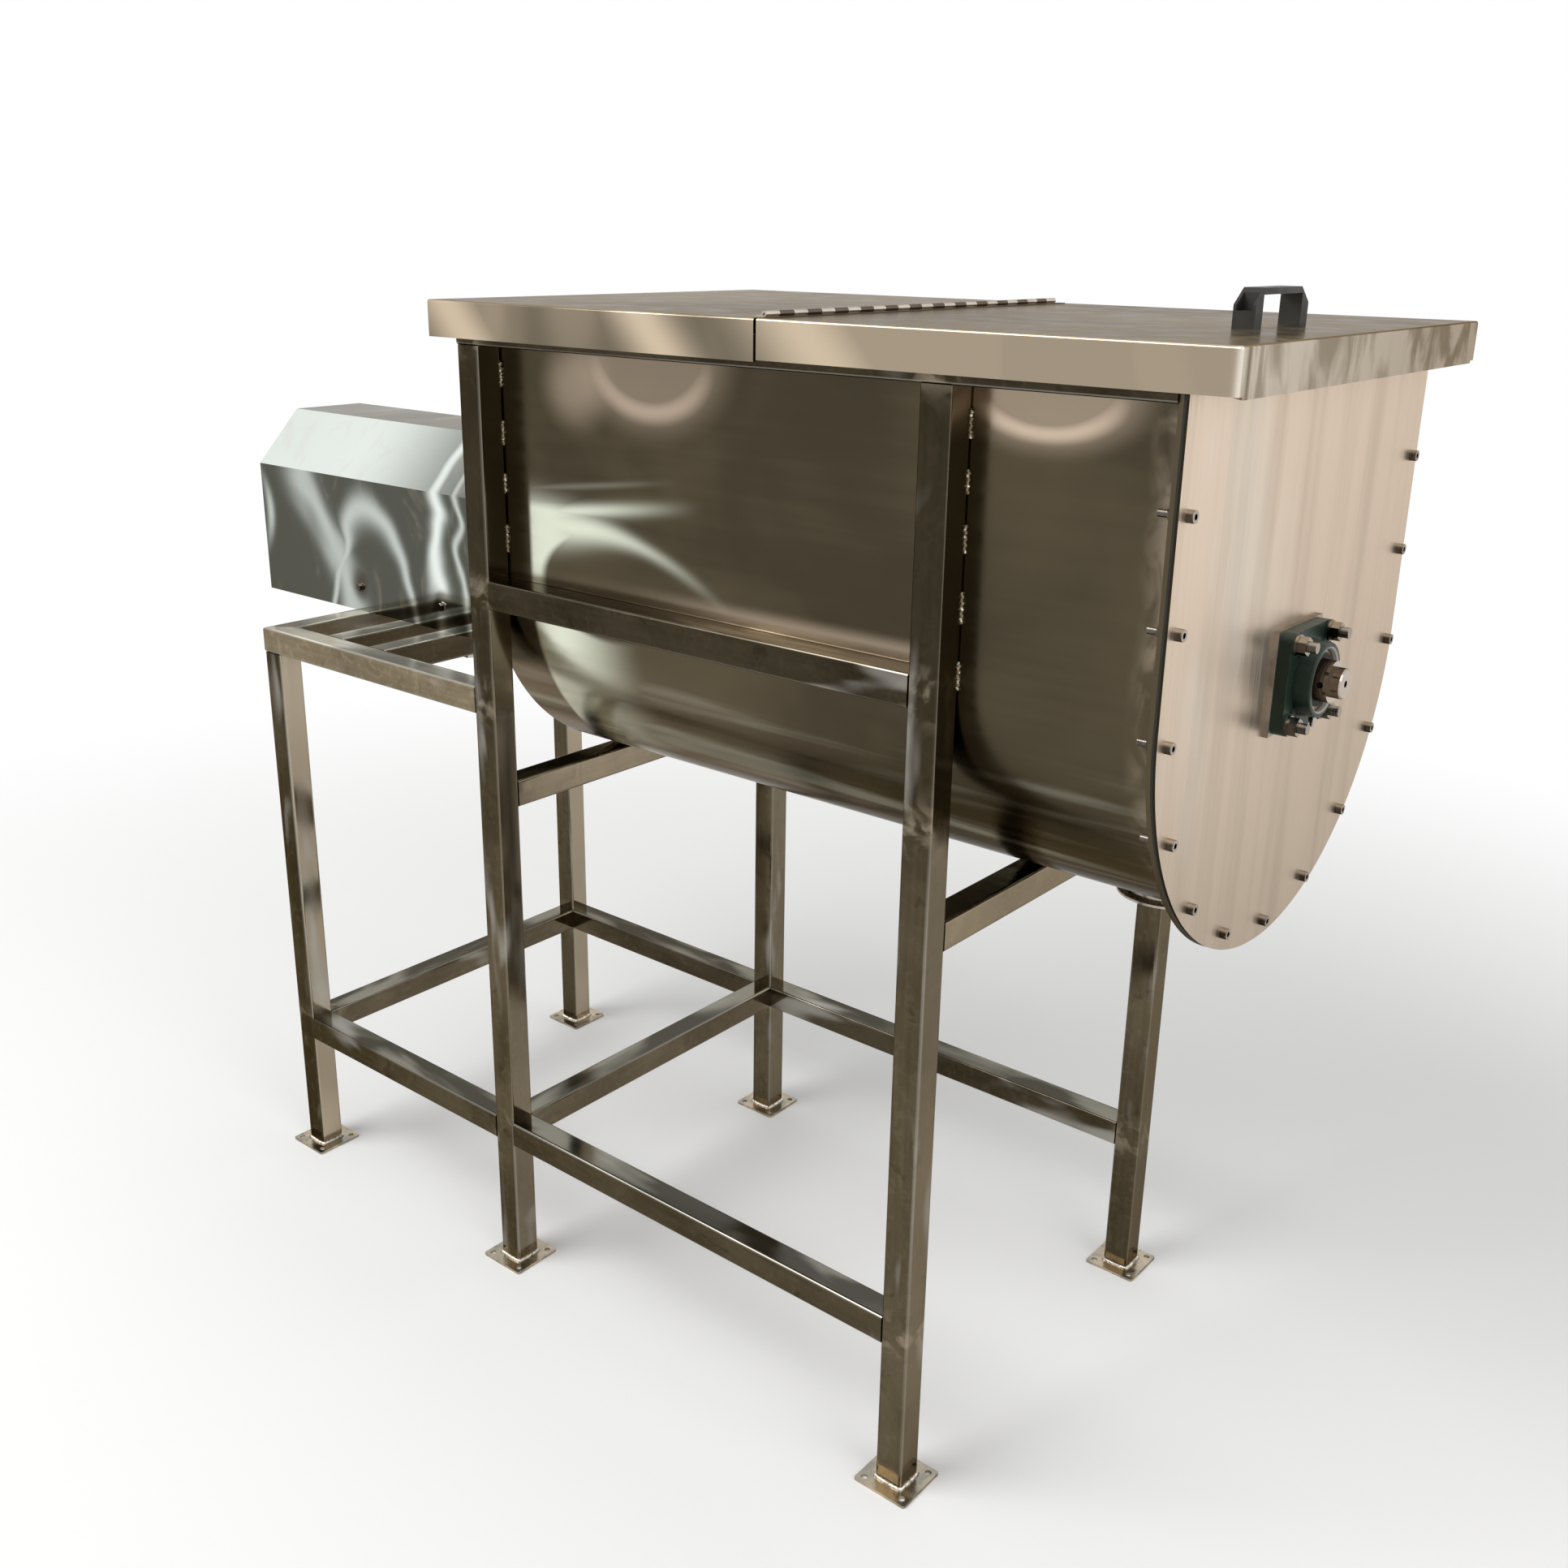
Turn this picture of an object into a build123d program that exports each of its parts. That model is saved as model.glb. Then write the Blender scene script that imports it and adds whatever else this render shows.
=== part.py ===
from build123d import *
import math
import os

os.makedirs("parts", exist_ok=True)

# Sizes are in millimetres. X runs along the trough towards the bearing end, Y from front to back, Z up.

# Square tube of the frame
TUBE = 40.0
TUBE_WALL = 2.0
TUBE_CORNER = 4.0

# Leg grid and rail heights
LEG_ROW = 610.0             # centre of the front legs to centre of the back legs
LOWER_RAIL_TOP = 252.0
SIDE_RAIL_RISE = 11.0       # top of the side rails above the agitator axis
TABLE_DROP = 144.0          # top of the motor table below the agitator axis
SLAT_SPACING = 104.0        # between the two slats that carry the gearbox
TABLE_END_SPAN = 118.0      # left slat to left legs
OUTLET_RAIL_GAP = 74.5      # outlet flange to the right cross rail

# Foot plates
FOOT_SIZE = 80.0
FOOT_THICK = 4.0
FOOT_CORNER = 3.0
FOOT_HOLE = 9.0
FOOT_HOLE_SPACING = 60.0

# Trough
AXIS_HEIGHT = 1080.0        # agitator axis above the floor
WALL_RISE = 360.0           # rim of the trough above the agitator axis
TROUGH_LENGTH = 1033.0      # left face to the outer face of the end plate
TROUGH_WALL = 3.0
LEFT_PLATE_THICK = 4.0
FLANGE_THICK = 5.0
FLANGE_WIDTH = 37.0
GASKET_THICK = 2.5
END_PLATE_THICK = 3.0
SHAFT_HOLE = 47.0
BOLT_INSET = 20.0           # bolt line to the outer edge of the flange
BOLT_PITCH = 115.0          # along the bolt line
BOLT_TOP_MARGIN = 40.0

# Cap screws of the end plate
CAP_SCREW = 8.0
CAP_HEAD = 13.0
CAP_HEAD_HEIGHT = 8.0
CAP_SOCKET = 6.0
CAP_SOCKET_DEPTH = 4.0
CAP_NUT = 13.0
CAP_NUT_HEIGHT = 8.0
CAP_NUT_FLANGE = 17.9
CAP_NUT_FLANGE_HEIGHT = 2.0
CAP_THREAD_END = 12.0
SCREW_CLEARANCE = 1.0       # hole diameter over screw diameter
NUT_CLEARANCE = 0.1         # nut bore diameter over screw diameter

# Outlet ferrule
OUTLET_SETBACK = 124.0      # centre to the outer face of the end plate
OUTLET_TUBE = 101.6
OUTLET_WALL = 2.0
OUTLET_FLANGE = 119.0
OUTLET_EDGE = 2.9
OUTLET_FLANGE_HEIGHT = 6.4
OUTLET_DROP = 15.0          # flange face below the lowest line of the trough

# Lid
SHEET = 2.0
BEND = 3.0
SEAL_HEIGHT = 12.7
SEAL_WIDTH = 18.0
SEAL_REACH = 3.0            # seal past the inside of the trough wall
SEAL_GAP = 0.3
LID_SIDE_GAP = 0.9
LID_LEFT_OVERHANG = 53.0
LID_RIGHT_OVERHANG = 49.0
FIXED_SKIRT = 47.0
LID_SKIRT = 45.0
SEAM_GAP = 4.0
HEM_WIDTH = 14.0
HEM_DROP = 3.0
HEM_END_CUT = 12.0
CORNER_BEND = 2.5

# Piano hinge
KNUCKLE = 7.0
KNUCKLE_LENGTH = 25.0
KNUCKLE_GAP = 0.5
HINGE_PIN = 3.0
PIN_CLEARANCE = 0.05
LEAF_THICK = 1.2
LEAF_WIDTH = 18.0
HINGE_END_MARGIN = 6.0

# Handle
HANDLE_SETBACK = 118.0      # handle centre to the right edge of the lid
HANDLE_LENGTH = 137.0
HANDLE_DEPTH = 25.0
HANDLE_HEIGHT = 41.0
HANDLE_SHOULDER = 24.0      # straight part of the outer ends
HANDLE_TOP_LENGTH = 94.0
HANDLE_LEG = 18.0
HANDLE_GRIP = 7.0
HANDLE_BASE = 18.0          # floor of the pocket in each leg
HANDLE_WALL = 3.5
HANDLE_SKIN = 2.5
HANDLE_SCREW = 6.0
HANDLE_SCREW_HEAD = 11.0
HANDLE_SCREW_HEAD_HEIGHT = 4.0
HANDLE_SCREW_REACH = 10.0

# Flange bearings
BEARING_PLATE = 121.0
BEARING_PLATE_THICK = 6.0
BEARING_FLANGE = 117.0
BEARING_FLANGE_THICK = 14.0
BEARING_PAD = 26.0
BEARING_PAD_HEIGHT = 16.0
BEARING_RIB = 6.0
BEARING_CORNER = 13.0
BEARING_BOLT_SPACING = 92.0
BEARING_HUB = 90.0
BEARING_HUB_TAPER = 4.0
BEARING_HUB_DEPTH = 34.0
BEARING_HUB_EDGE = 2.0
BEARING_LEAD_IN = 1.5       # chamfer at the mouth of the hub
BEARING_OUTER_RING = 72.0
BEARING_OUTER_WIDTH = 19.0
BEARING_CENTRE = 19.0
BEARING_SEAL = 62.0
BEARING_SEAL_THICK = 2.5
BEARING_RING = 48.0
BEARING_RING_START = 1.5
BEARING_RING_END = 44.4
BEARING_RUN_GAP = 0.3
BEARING_FIT = 0.02
SET_SCREW = 7.0
SET_SCREW_DEPTH = 4.0
SET_SCREW_SETBACK = 7.0
SET_SCREW_TURN = 120.0      # angle between the two set screws
BEARING_STUD = 12.0
BEARING_STUD_END = 10.0
BEARING_WASHER = 24.0
BEARING_WASHER_THICK = 2.5
BEARING_NUT = 19.0
BEARING_NUT_HEIGHT = 10.0
NIPPLE_HEX = 8.0
NIPPLE_HEX_HEIGHT = 4.0
NIPPLE_TIP = 5.0
NIPPLE_TIP_HEIGHT = 6.0
NIPPLE_SETBACK = 9.0
SEAL_RING = 62.0
SEAL_RING_CLEARANCE = 0.05

# Agitator
SHAFT_BEARING = 35.0
SHAFT_SEALED = 45.0
SHAFT_BODY = 60.0
SHAFT_BODY_GAP = 12.0       # shaft body to the end plates
SHAFT_STICK_OUT = 12.6      # shaft past the bearing's inner ring
SHAFT_CHAMFER = 1.5
CENTRE_DRILL = 8.0
CENTRE_DRILL_DEPTH = 10.0
RIBBON_THICK = 6.0
RIBBON_GAP = 8.0            # outer ribbon to the trough wall
OUTER_RIBBON_WIDTH = 52.0
INNER_RIBBON_OUTER = 150.0  # outer radius of the inner ribbon
INNER_RIBBON_WIDTH = 40.0
RIBBON_TURNS = 2.0
RIBBON_STARTS = 2
RIBBON_END_GAP = 20.5       # ribbon ends to the end plates
SPOKE = 18.0
SPOKE_STEPS_PER_TURN = 4
SPOKE_END_GAP = 8.0         # spoke end inside the outer ribbon's edge
SPOKE_TOUCH = 0.15
RIBBON_OVERRUN = 28.0       # ribbon past its end spokes

# Coupling between the gearbox and the agitator shaft
COUPLING_GAP = 14.0
COUPLING_HUB = 90.0
COUPLING_HUB_LENGTH = 42.0
COUPLING_JAW_LENGTH = 16.0
COUPLING_JAW_INNER = 44.0
COUPLING_JAW_ANGLE = 40.0
COUPLING_JAWS = 3
SPIDER_CLEARANCE = 0.3
SPIDER_HOLE = 26.0
GEARBOX_SHAFT = 40.0

# Gearbox
GEARBOX_LENGTH = 170.0
GEARBOX_WIDTH = 190.0
GEARBOX_RISE = 100.0        # top of the housing above the axis
GEARBOX_CORNER = 28.0
GEARBOX_FOOT_LEDGE = 27.0   # foot past each side of the housing
GEARBOX_FOOT_LENGTH = 150.0
GEARBOX_FOOT_THICK = 18.0
GEARBOX_FOOT_CORNER = 12.0
GEARBOX_BOLT_LEDGE = 11.0   # bolt centres past each side of the housing
GEARBOX_SNOUT = 130.0
GEARBOX_SNOUT_END = 96.0
GEARBOX_SNOUT_LENGTH = 62.6
GEARBOX_LID = 130.0
GEARBOX_LID_THICK = 6.0
GEARBOX_BOLT = 12.0
GEARBOX_BOLT_HEAD = 18.0
GEARBOX_BOLT_HEAD_HEIGHT = 7.5
GEARBOX_NUT_HEIGHT = 10.0
GEARBOX_BOLT_END = 4.0

# Motor
MOTOR_FLANGE = 190.0
MOTOR_FLANGE_THICK = 20.0
MOTOR_BODY = 160.0
MOTOR_FIN_HEIGHT = 13.0
MOTOR_FIN_THICK = 3.0
MOTOR_FINS = 28
MOTOR_LENGTH = 235.0
MOTOR_COWL = 192.0
MOTOR_COWL_LENGTH = 65.0
MOTOR_COWL_ROUND = 16.0
MOTOR_COWL_SHEET = 3.0
COWL_SLOTS = 12
COWL_SLOT_WIDTH = 8.0
COWL_SLOT_START = 26.0
COWL_SLOT_END = 70.0
TERMINAL_LENGTH = 100.0
TERMINAL_WIDTH = 96.0
TERMINAL_HEIGHT = 44.0
TERMINAL_ROUND = 8.0
TERMINAL_LID = 8.0
TERMINAL_LID_EDGE = 3.0
GLAND = 24.0
GLAND_LENGTH = 14.0
GLAND_BORE = 12.0

# Motor cover
COVER_AIR = 27.0            # fan cowl to the left end wall
COVER_FOOT_GAP = 2.0        # gearbox foot to the cover's tabs
COVER_TOP_HALF_WIDTH = 66.0
COVER_WALL_HEIGHT = 219.0
COVER_HEIGHT = 305.0
COVER_SHEET = 2.0
COVER_END_GAP = 3.0
VENT_SLOTS = 7
VENT_SLOT_LENGTH = 120.0
VENT_SLOT_WIDTH = 8.0
VENT_SLOT_PITCH = 20.0
VENT_RISE = 150.0           # middle of the slots above the table
BRACKET_WIDTH = 30.0
BRACKET_HEIGHT = 58.0
BRACKET_BASE = 22.0
BRACKET_SHEET = 3.0
BRACKET_SHIFT = 12.0        # right tabs to the left of the right slat's middle
COVER_SCREW = 6.0
COVER_SCREW_HEIGHT = 40.0   # above the table
COVER_SCREW_HEAD = 10.0
COVER_SCREW_HEAD_HEIGHT = 4.0
COVER_WASHER = 16.0
COVER_WASHER_THICK = 1.5
COVER_SCREW_END = 8.0

# Places worked out from the sizes above
LEG_Y = LEG_ROW / 2
OUTER_Y = LEG_Y + TUBE / 2
TROUGH_RADIUS = LEG_Y - TUBE / 2
INNER_RADIUS = TROUGH_RADIUS - TROUGH_WALL
FLANGE_RADIUS = TROUGH_RADIUS + FLANGE_WIDTH
RIM_TOP = AXIS_HEIGHT + WALL_RISE
LEG_TOP = RIM_TOP - TUBE
SIDE_RAIL_TOP = AXIS_HEIGHT + SIDE_RAIL_RISE
TABLE_TOP = AXIS_HEIGHT - TABLE_DROP
TROUGH_BOTTOM = AXIS_HEIGHT - TROUGH_RADIUS
BEARING_REACH = BEARING_PLATE_THICK + BEARING_RING_END
COUPLING_LENGTH = 2 * COUPLING_HUB_LENGTH + COUPLING_JAW_LENGTH
COUPLING_REACH = COUPLING_GAP + COUPLING_LENGTH + COUPLING_GAP
GEARBOX_REACH = GEARBOX_SNOUT_LENGTH + GEARBOX_LENGTH + MOTOR_FLANGE_THICK
MOTOR_REACH = MOTOR_LENGTH + MOTOR_COWL_LENGTH
DRIVE_REACH = BEARING_REACH + COUPLING_REACH + GEARBOX_REACH + MOTOR_REACH + COVER_AIR + COVER_SHEET
TROUGH_X = (DRIVE_REACH - TROUGH_LENGTH - BEARING_REACH - SHAFT_STICK_OUT) / 2
END_FACE_X = TROUGH_X + TROUGH_LENGTH
END_PLATE_X = END_FACE_X - END_PLATE_THICK
GASKET_X = END_PLATE_X - GASKET_THICK
FLANGE_X = GASKET_X - FLANGE_THICK
OUTLET_X = END_FACE_X - OUTLET_SETBACK
MIDDLE_LEG_X = TROUGH_X + TUBE / 2
RIGHT_LEG_X = OUTLET_X - OUTLET_FLANGE / 2 - OUTLET_RAIL_GAP - TUBE / 2
LID_LEFT_X = TROUGH_X - LID_LEFT_OVERHANG
LID_RIGHT_X = END_FACE_X + LID_RIGHT_OVERHANG
SEAM_X = (LID_LEFT_X + LID_RIGHT_X) / 2
LID_UNDER = RIM_TOP + SEAL_HEIGHT + SEAL_GAP
LID_TOP = LID_UNDER + SHEET
LID_HALF_WIDTH = OUTER_Y + LID_SIDE_GAP + SHEET
HINGE_Z = LID_TOP + KNUCKLE / 2
HANDLE_X = LID_RIGHT_X - HANDLE_SETBACK
NIPPLE_X = BEARING_HUB_DEPTH - NIPPLE_SETBACK
RIGHT_BEARING_X = END_FACE_X + BEARING_PLATE_THICK
LEFT_BEARING_X = TROUGH_X - BEARING_PLATE_THICK
COUPLING_X = LEFT_BEARING_X - BEARING_RING_END - COUPLING_GAP
SNOUT_X = COUPLING_X - COUPLING_LENGTH - COUPLING_GAP
GEARBOX_FRONT_X = SNOUT_X - GEARBOX_SNOUT_LENGTH
GEARBOX_REAR_X = GEARBOX_FRONT_X - GEARBOX_LENGTH
GEARBOX_X = (GEARBOX_FRONT_X + GEARBOX_REAR_X) / 2
RIGHT_SLAT_X = GEARBOX_X + SLAT_SPACING / 2
LEFT_SLAT_X = GEARBOX_X - SLAT_SPACING / 2
LEFT_LEG_X = LEFT_SLAT_X - TABLE_END_SPAN
TABLE_END_X = LEFT_LEG_X - TUBE / 2
MOTOR_X = GEARBOX_REAR_X - MOTOR_FLANGE_THICK
COWL_X = MOTOR_X - MOTOR_LENGTH
GEARBOX_FOOT_WIDTH = GEARBOX_WIDTH + 2 * GEARBOX_FOOT_LEDGE
GEARBOX_BOLT_ROW = GEARBOX_WIDTH + 2 * GEARBOX_BOLT_LEDGE
COVER_HALF_WIDTH = GEARBOX_FOOT_WIDTH / 2 + COVER_FOOT_GAP + BRACKET_BASE + COVER_SHEET
COVER_LEFT_X = COWL_X - MOTOR_COWL_LENGTH - COVER_AIR - COVER_SHEET
COVER_RIGHT_X = TROUGH_X - COVER_END_GAP
OUTER_RIBBON_OUTER = INNER_RADIUS - RIBBON_GAP
RIBBON_START_X = TROUGH_X + LEFT_PLATE_THICK + RIBBON_END_GAP
RIBBON_LENGTH = END_PLATE_X - RIBBON_END_GAP - RIBBON_START_X
RIBBON_PITCH = (RIBBON_LENGTH - 2 * RIBBON_OVERRUN) / RIBBON_TURNS


# Shared shapes

def tube(start, end, capped=False):
    """Hollow square tube from one point to another along an axis of the frame."""
    start = Vector(*start)
    run = Vector(*end) - start
    sideways = (0, 1, 0) if abs(run.normalized().X) > 0.5 else (1, 0, 0)
    plane = Plane(origin=start, x_dir=sideways, z_dir=run)
    inside = RectangleRounded(TUBE - 2 * TUBE_WALL, TUBE - 2 * TUBE_WALL, TUBE_CORNER - TUBE_WALL)
    section = RectangleRounded(TUBE, TUBE, TUBE_CORNER) - inside
    shape = extrude(plane * section, amount=run.length)
    if capped:
        shape += extrude(plane * inside, amount=TUBE_WALL)
    return shape


def rod(diameter, start, length, axis="X"):
    """Round bar that starts at a point and runs along +X, +Y, +Z or the other way for a negative length."""
    directions = {"X": (1, 0, 0), "Y": (0, 1, 0), "Z": (0, 0, 1)}
    direction = Vector(*directions[axis]) * math.copysign(1, length)
    return extrude(Plane(origin=start, z_dir=direction) * Circle(diameter / 2), amount=abs(length))


def hexagon_bar(across_flats, start, length, axis="X"):
    """Hexagonal bar that starts at a point and runs along an axis."""
    directions = {"X": (1, 0, 0), "Y": (0, 1, 0), "Z": (0, 0, 1)}
    direction = Vector(*directions[axis]) * math.copysign(1, length)
    outline = RegularPolygon(across_flats / 2, 6, major_radius=False)
    return extrude(Plane(origin=start, z_dir=direction) * outline, amount=abs(length))


def block(low, high):
    """Rectangular block between two corners."""
    size = [high[i] - low[i] for i in range(3)]
    middle = [(high[i] + low[i]) / 2 for i in range(3)]
    return Pos(*middle) * Box(*size)


def u_outline(radius, top):
    """Face with a half-round bottom about the agitator axis and straight sides up to the top."""
    sides = Polyline((-radius, AXIS_HEIGHT), (-radius, top), (radius, top), (radius, AXIS_HEIGHT))
    bottom = ThreePointArc((radius, AXIS_HEIGHT), (0, AXIS_HEIGHT - radius), (-radius, AXIS_HEIGHT))
    return make_face(sides + bottom)


def u_slab(outer, x, thickness, inner=0.0):
    """Plate of U outline, or a U-shaped strip open at the top when an inner radius is given."""
    face = u_outline(outer, RIM_TOP)
    if inner:
        face -= u_outline(inner, RIM_TOP + TUBE)
    return Pos(x, 0, 0) * extrude(Plane.YZ * face, amount=thickness)


def bolt_places():
    """Points (y, z) at an even pitch along the U-shaped bolt line, counted from its lowest point."""
    radius = FLANGE_RADIUS - BOLT_INSET
    quarter = radius * math.pi / 2
    straight = RIM_TOP - AXIS_HEIGHT - BOLT_TOP_MARGIN
    steps = int((quarter + straight) / BOLT_PITCH)
    places = []
    for step in range(-steps, steps + 1):
        along = step * BOLT_PITCH
        if abs(along) <= quarter:
            angle = along / radius
            places.append((radius * math.sin(angle), AXIS_HEIGHT - radius * math.cos(angle)))
        else:
            places.append((math.copysign(radius, along), AXIS_HEIGHT + abs(along) - quarter))
    return places


def sector(inner, outer, angle):
    """Ring sector centred on the local X axis."""
    half = math.radians(angle / 2)
    corner = lambda radius, side: (radius * math.cos(half), side * radius * math.sin(half))
    outline = Line(corner(inner, 1), corner(outer, 1))
    outline += ThreePointArc(corner(outer, 1), (outer, 0), corner(outer, -1))
    outline += Line(corner(outer, -1), corner(inner, -1))
    outline += ThreePointArc(corner(inner, -1), (inner, 0), corner(inner, 1))
    return make_face(outline)


def group(shapes):
    """Like pieces that share one node, each its own solid."""
    return Compound(children=[shape.solid() for shape in shapes])


def four_corners(spacing_a, spacing_b):
    """Corner points of a rectangle about the origin."""
    return [(a * spacing_a / 2, b * spacing_b / 2) for a in (-1, 1) for b in (-1, 1)]


# Frame

def leg(x, y, top):
    return tube((x, y, FOOT_THICK), (x, y, top))


def foot_plates():
    plates = []
    for x in (LEFT_LEG_X, MIDDLE_LEG_X, RIGHT_LEG_X):
        for y in (-LEG_Y, LEG_Y):
            outline = RectangleRounded(FOOT_SIZE, FOOT_SIZE, FOOT_CORNER)
            for place in four_corners(FOOT_HOLE_SPACING, FOOT_HOLE_SPACING):
                outline -= Pos(*place) * Circle(FOOT_HOLE / 2)
            plates.append(Pos(x, y, 0) * extrude(outline, amount=FOOT_THICK))
    return group(plates)


def long_rail(left_x, right_x, y, top):
    """Rail along the trough between the facing sides of two legs."""
    z = top - TUBE / 2
    return tube((left_x + TUBE / 2, y, z), (right_x - TUBE / 2, y, z))


def cross_rail(x, top):
    """Rail across the frame between the inner faces of a front and a back leg or rail."""
    z = top - TUBE / 2
    return tube((x, -TROUGH_RADIUS, z), (x, TROUGH_RADIUS, z))


def top_rail(side):
    """Rail on top of the trough legs, capped at its free left end, butted to the end flange."""
    z = LEG_TOP + TUBE / 2
    return tube((TROUGH_X, side * LEG_Y, z), (FLANGE_X, side * LEG_Y, z), capped=True)


def table_corner_cut(side):
    """Mitre plane through a left corner of the motor table; it faces the long rail."""
    return Plane(origin=(TABLE_END_X, side * OUTER_Y, 0), z_dir=(1, side, 0))


def table_long_rail(side):
    z = TABLE_TOP - TUBE / 2
    rail = tube((TABLE_END_X, side * LEG_Y, z), (TROUGH_X, side * LEG_Y, z))
    return split(rail, bisect_by=table_corner_cut(side), keep=Keep.TOP)


def table_end_rail():
    z = TABLE_TOP - TUBE / 2
    rail = tube((LEFT_LEG_X, -OUTER_Y, z), (LEFT_LEG_X, OUTER_Y, z))
    for side in (-1, 1):
        rail = split(rail, bisect_by=table_corner_cut(side), keep=Keep.BOTTOM)
    return rail


def table_slat(x):
    slat = cross_rail(x, TABLE_TOP)
    for y in (-GEARBOX_BOLT_ROW / 2, GEARBOX_BOLT_ROW / 2):
        slat -= rod(GEARBOX_BOLT + SCREW_CLEARANCE, (x, y, TABLE_TOP - TUBE), TUBE, "Z")
    return slat


# Trough

def trough_shell():
    start = TROUGH_X + LEFT_PLATE_THICK
    shell = u_slab(TROUGH_RADIUS, start, GASKET_X - start, INNER_RADIUS)
    bore = OUTLET_TUBE - 2 * OUTLET_WALL
    return shell - rod(bore, (OUTLET_X, 0, TROUGH_BOTTOM - TROUGH_WALL), TROUGH_RADIUS / 2, "Z")


def trough_left_plate():
    plate = u_slab(TROUGH_RADIUS, TROUGH_X, LEFT_PLATE_THICK)
    return plate - rod(SHAFT_HOLE, (TROUGH_X, 0, AXIS_HEIGHT), LEFT_PLATE_THICK)


def bolted_strip(x, thickness, inner):
    """U-shaped strip with the end plate's bolt holes."""
    strip = u_slab(FLANGE_RADIUS, x, thickness, inner)
    for y, z in bolt_places():
        strip -= rod(CAP_SCREW + SCREW_CLEARANCE, (x, y, z), thickness)
    return strip


def end_plate():
    plate = u_slab(FLANGE_RADIUS, END_PLATE_X, END_PLATE_THICK)
    for y, z in bolt_places():
        plate -= rod(CAP_SCREW + SCREW_CLEARANCE, (END_PLATE_X, y, z), END_PLATE_THICK)
    return plate - rod(SHAFT_HOLE, (END_PLATE_X, 0, AXIS_HEIGHT), END_PLATE_THICK)


def end_plate_bolts():
    """Socket cap screws through plate, gasket and flange, each with its flange nut."""
    fasteners = []
    for y, z in bolt_places():
        tail = FLANGE_X - CAP_NUT_HEIGHT - CAP_THREAD_END
        screw = rod(CAP_SCREW, (tail, y, z), END_FACE_X - tail)
        screw += rod(CAP_HEAD, (END_FACE_X, y, z), CAP_HEAD_HEIGHT)
        face = END_FACE_X + CAP_HEAD_HEIGHT
        screw -= hexagon_bar(CAP_SOCKET, (face, y, z), -CAP_SOCKET_DEPTH)
        nut = hexagon_bar(CAP_NUT, (FLANGE_X, y, z), -CAP_NUT_HEIGHT)
        nut += rod(CAP_NUT_FLANGE, (FLANGE_X, y, z), -CAP_NUT_FLANGE_HEIGHT)
        nut -= rod(CAP_SCREW + NUT_CLEARANCE, (FLANGE_X, y, z), -CAP_NUT_HEIGHT)
        fasteners.extend([screw, nut])
    return group(fasteners)


def outlet_spout():
    """Clamp ferrule: a short tube saddled on the trough with a back-tapered flange at its lower end."""
    face = TROUGH_BOTTOM - OUTLET_DROP
    tube_radius = OUTLET_TUBE / 2
    bore_radius = tube_radius - OUTLET_WALL
    flange_radius = OUTLET_FLANGE / 2
    top = AXIS_HEIGHT - math.sqrt(TROUGH_RADIUS ** 2 - tube_radius ** 2)
    profile = Polyline(
        (bore_radius, face),
        (flange_radius, face),
        (flange_radius, face + OUTLET_EDGE),
        (tube_radius, face + OUTLET_FLANGE_HEIGHT),
        (tube_radius, top),
        (bore_radius, top),
        close=True,
    )
    spout = Pos(OUTLET_X, 0, 0) * revolve(Plane.XZ * make_face(profile), Axis.Z)
    trough = rod(2 * TROUGH_RADIUS, (TROUGH_X, 0, AXIS_HEIGHT), TROUGH_LENGTH)
    return spout - trough


# Lid

def tray(left, right, skirt, open_left):
    """Sheet tray of bent skirts, open on the side of the seam."""
    outside = block((left, -LID_HALF_WIDTH, LID_TOP - skirt), (right, LID_HALF_WIDTH, LID_TOP))
    closed_x = right if open_left else left
    inward = -1 if open_left else 1
    corners = [e for e in outside.edges().filter_by(Axis.Z) if abs(e.center().X - closed_x) < SHEET]
    outside = fillet(corners, CORNER_BEND)
    seam_x = left if open_left else right
    rim = [e for e in outside.faces().sort_by(Axis.Z)[-1].edges() if abs(e.center().X - seam_x) > SHEET]
    outside = fillet(rim, BEND)
    inner_half = LID_HALF_WIDTH - SHEET
    ends = sorted((closed_x + inward * SHEET, seam_x + inward * SEAM_GAP))
    inside = block((ends[0], -inner_half, LID_TOP - 2 * skirt), (ends[1], inner_half, LID_UNDER))
    return outside - inside


def fixed_cover():
    return tray(LID_LEFT_X, SEAM_X - SEAM_GAP / 2, FIXED_SKIRT, open_left=False)


def hinged_lid():
    """Right cover with a return hem under its end skirt and the two handle screw holes."""
    lid = tray(SEAM_X + SEAM_GAP / 2, LID_RIGHT_X, LID_SKIRT, open_left=True)
    under = LID_TOP - LID_SKIRT
    hem_half = LID_HALF_WIDTH - HEM_END_CUT
    hem_x = LID_RIGHT_X - SHEET
    hem = Polyline(
        (hem_x, -hem_half),
        (hem_x, hem_half),
        (hem_x - HEM_WIDTH, hem_half - HEM_WIDTH),
        (hem_x - HEM_WIDTH, -hem_half + HEM_WIDTH),
        close=True,
    )
    lid += Pos(0, 0, under - HEM_DROP) * extrude(make_face(hem), amount=SHEET)
    lid += block((hem_x, -hem_half, under - HEM_DROP), (LID_RIGHT_X, hem_half, under))
    for y in handle_screw_places():
        lid -= rod(HANDLE_SCREW + SCREW_CLEARANCE, (HANDLE_X, y, LID_UNDER), SHEET, "Z")
    return lid


def lid_seal():
    """Rubber frame on the rim of the trough."""
    low_x = TROUGH_X + LEFT_PLATE_THICK + SEAL_REACH
    high_x = GASKET_X - SEAL_REACH
    half = INNER_RADIUS - SEAL_REACH
    inner = block((low_x, -half, RIM_TOP), (high_x, half, RIM_TOP + SEAL_HEIGHT))
    outer = block(
        (low_x - SEAL_WIDTH, -half - SEAL_WIDTH, RIM_TOP),
        (high_x + SEAL_WIDTH, half + SEAL_WIDTH, RIM_TOP + SEAL_HEIGHT),
    )
    return outer - inner


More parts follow.
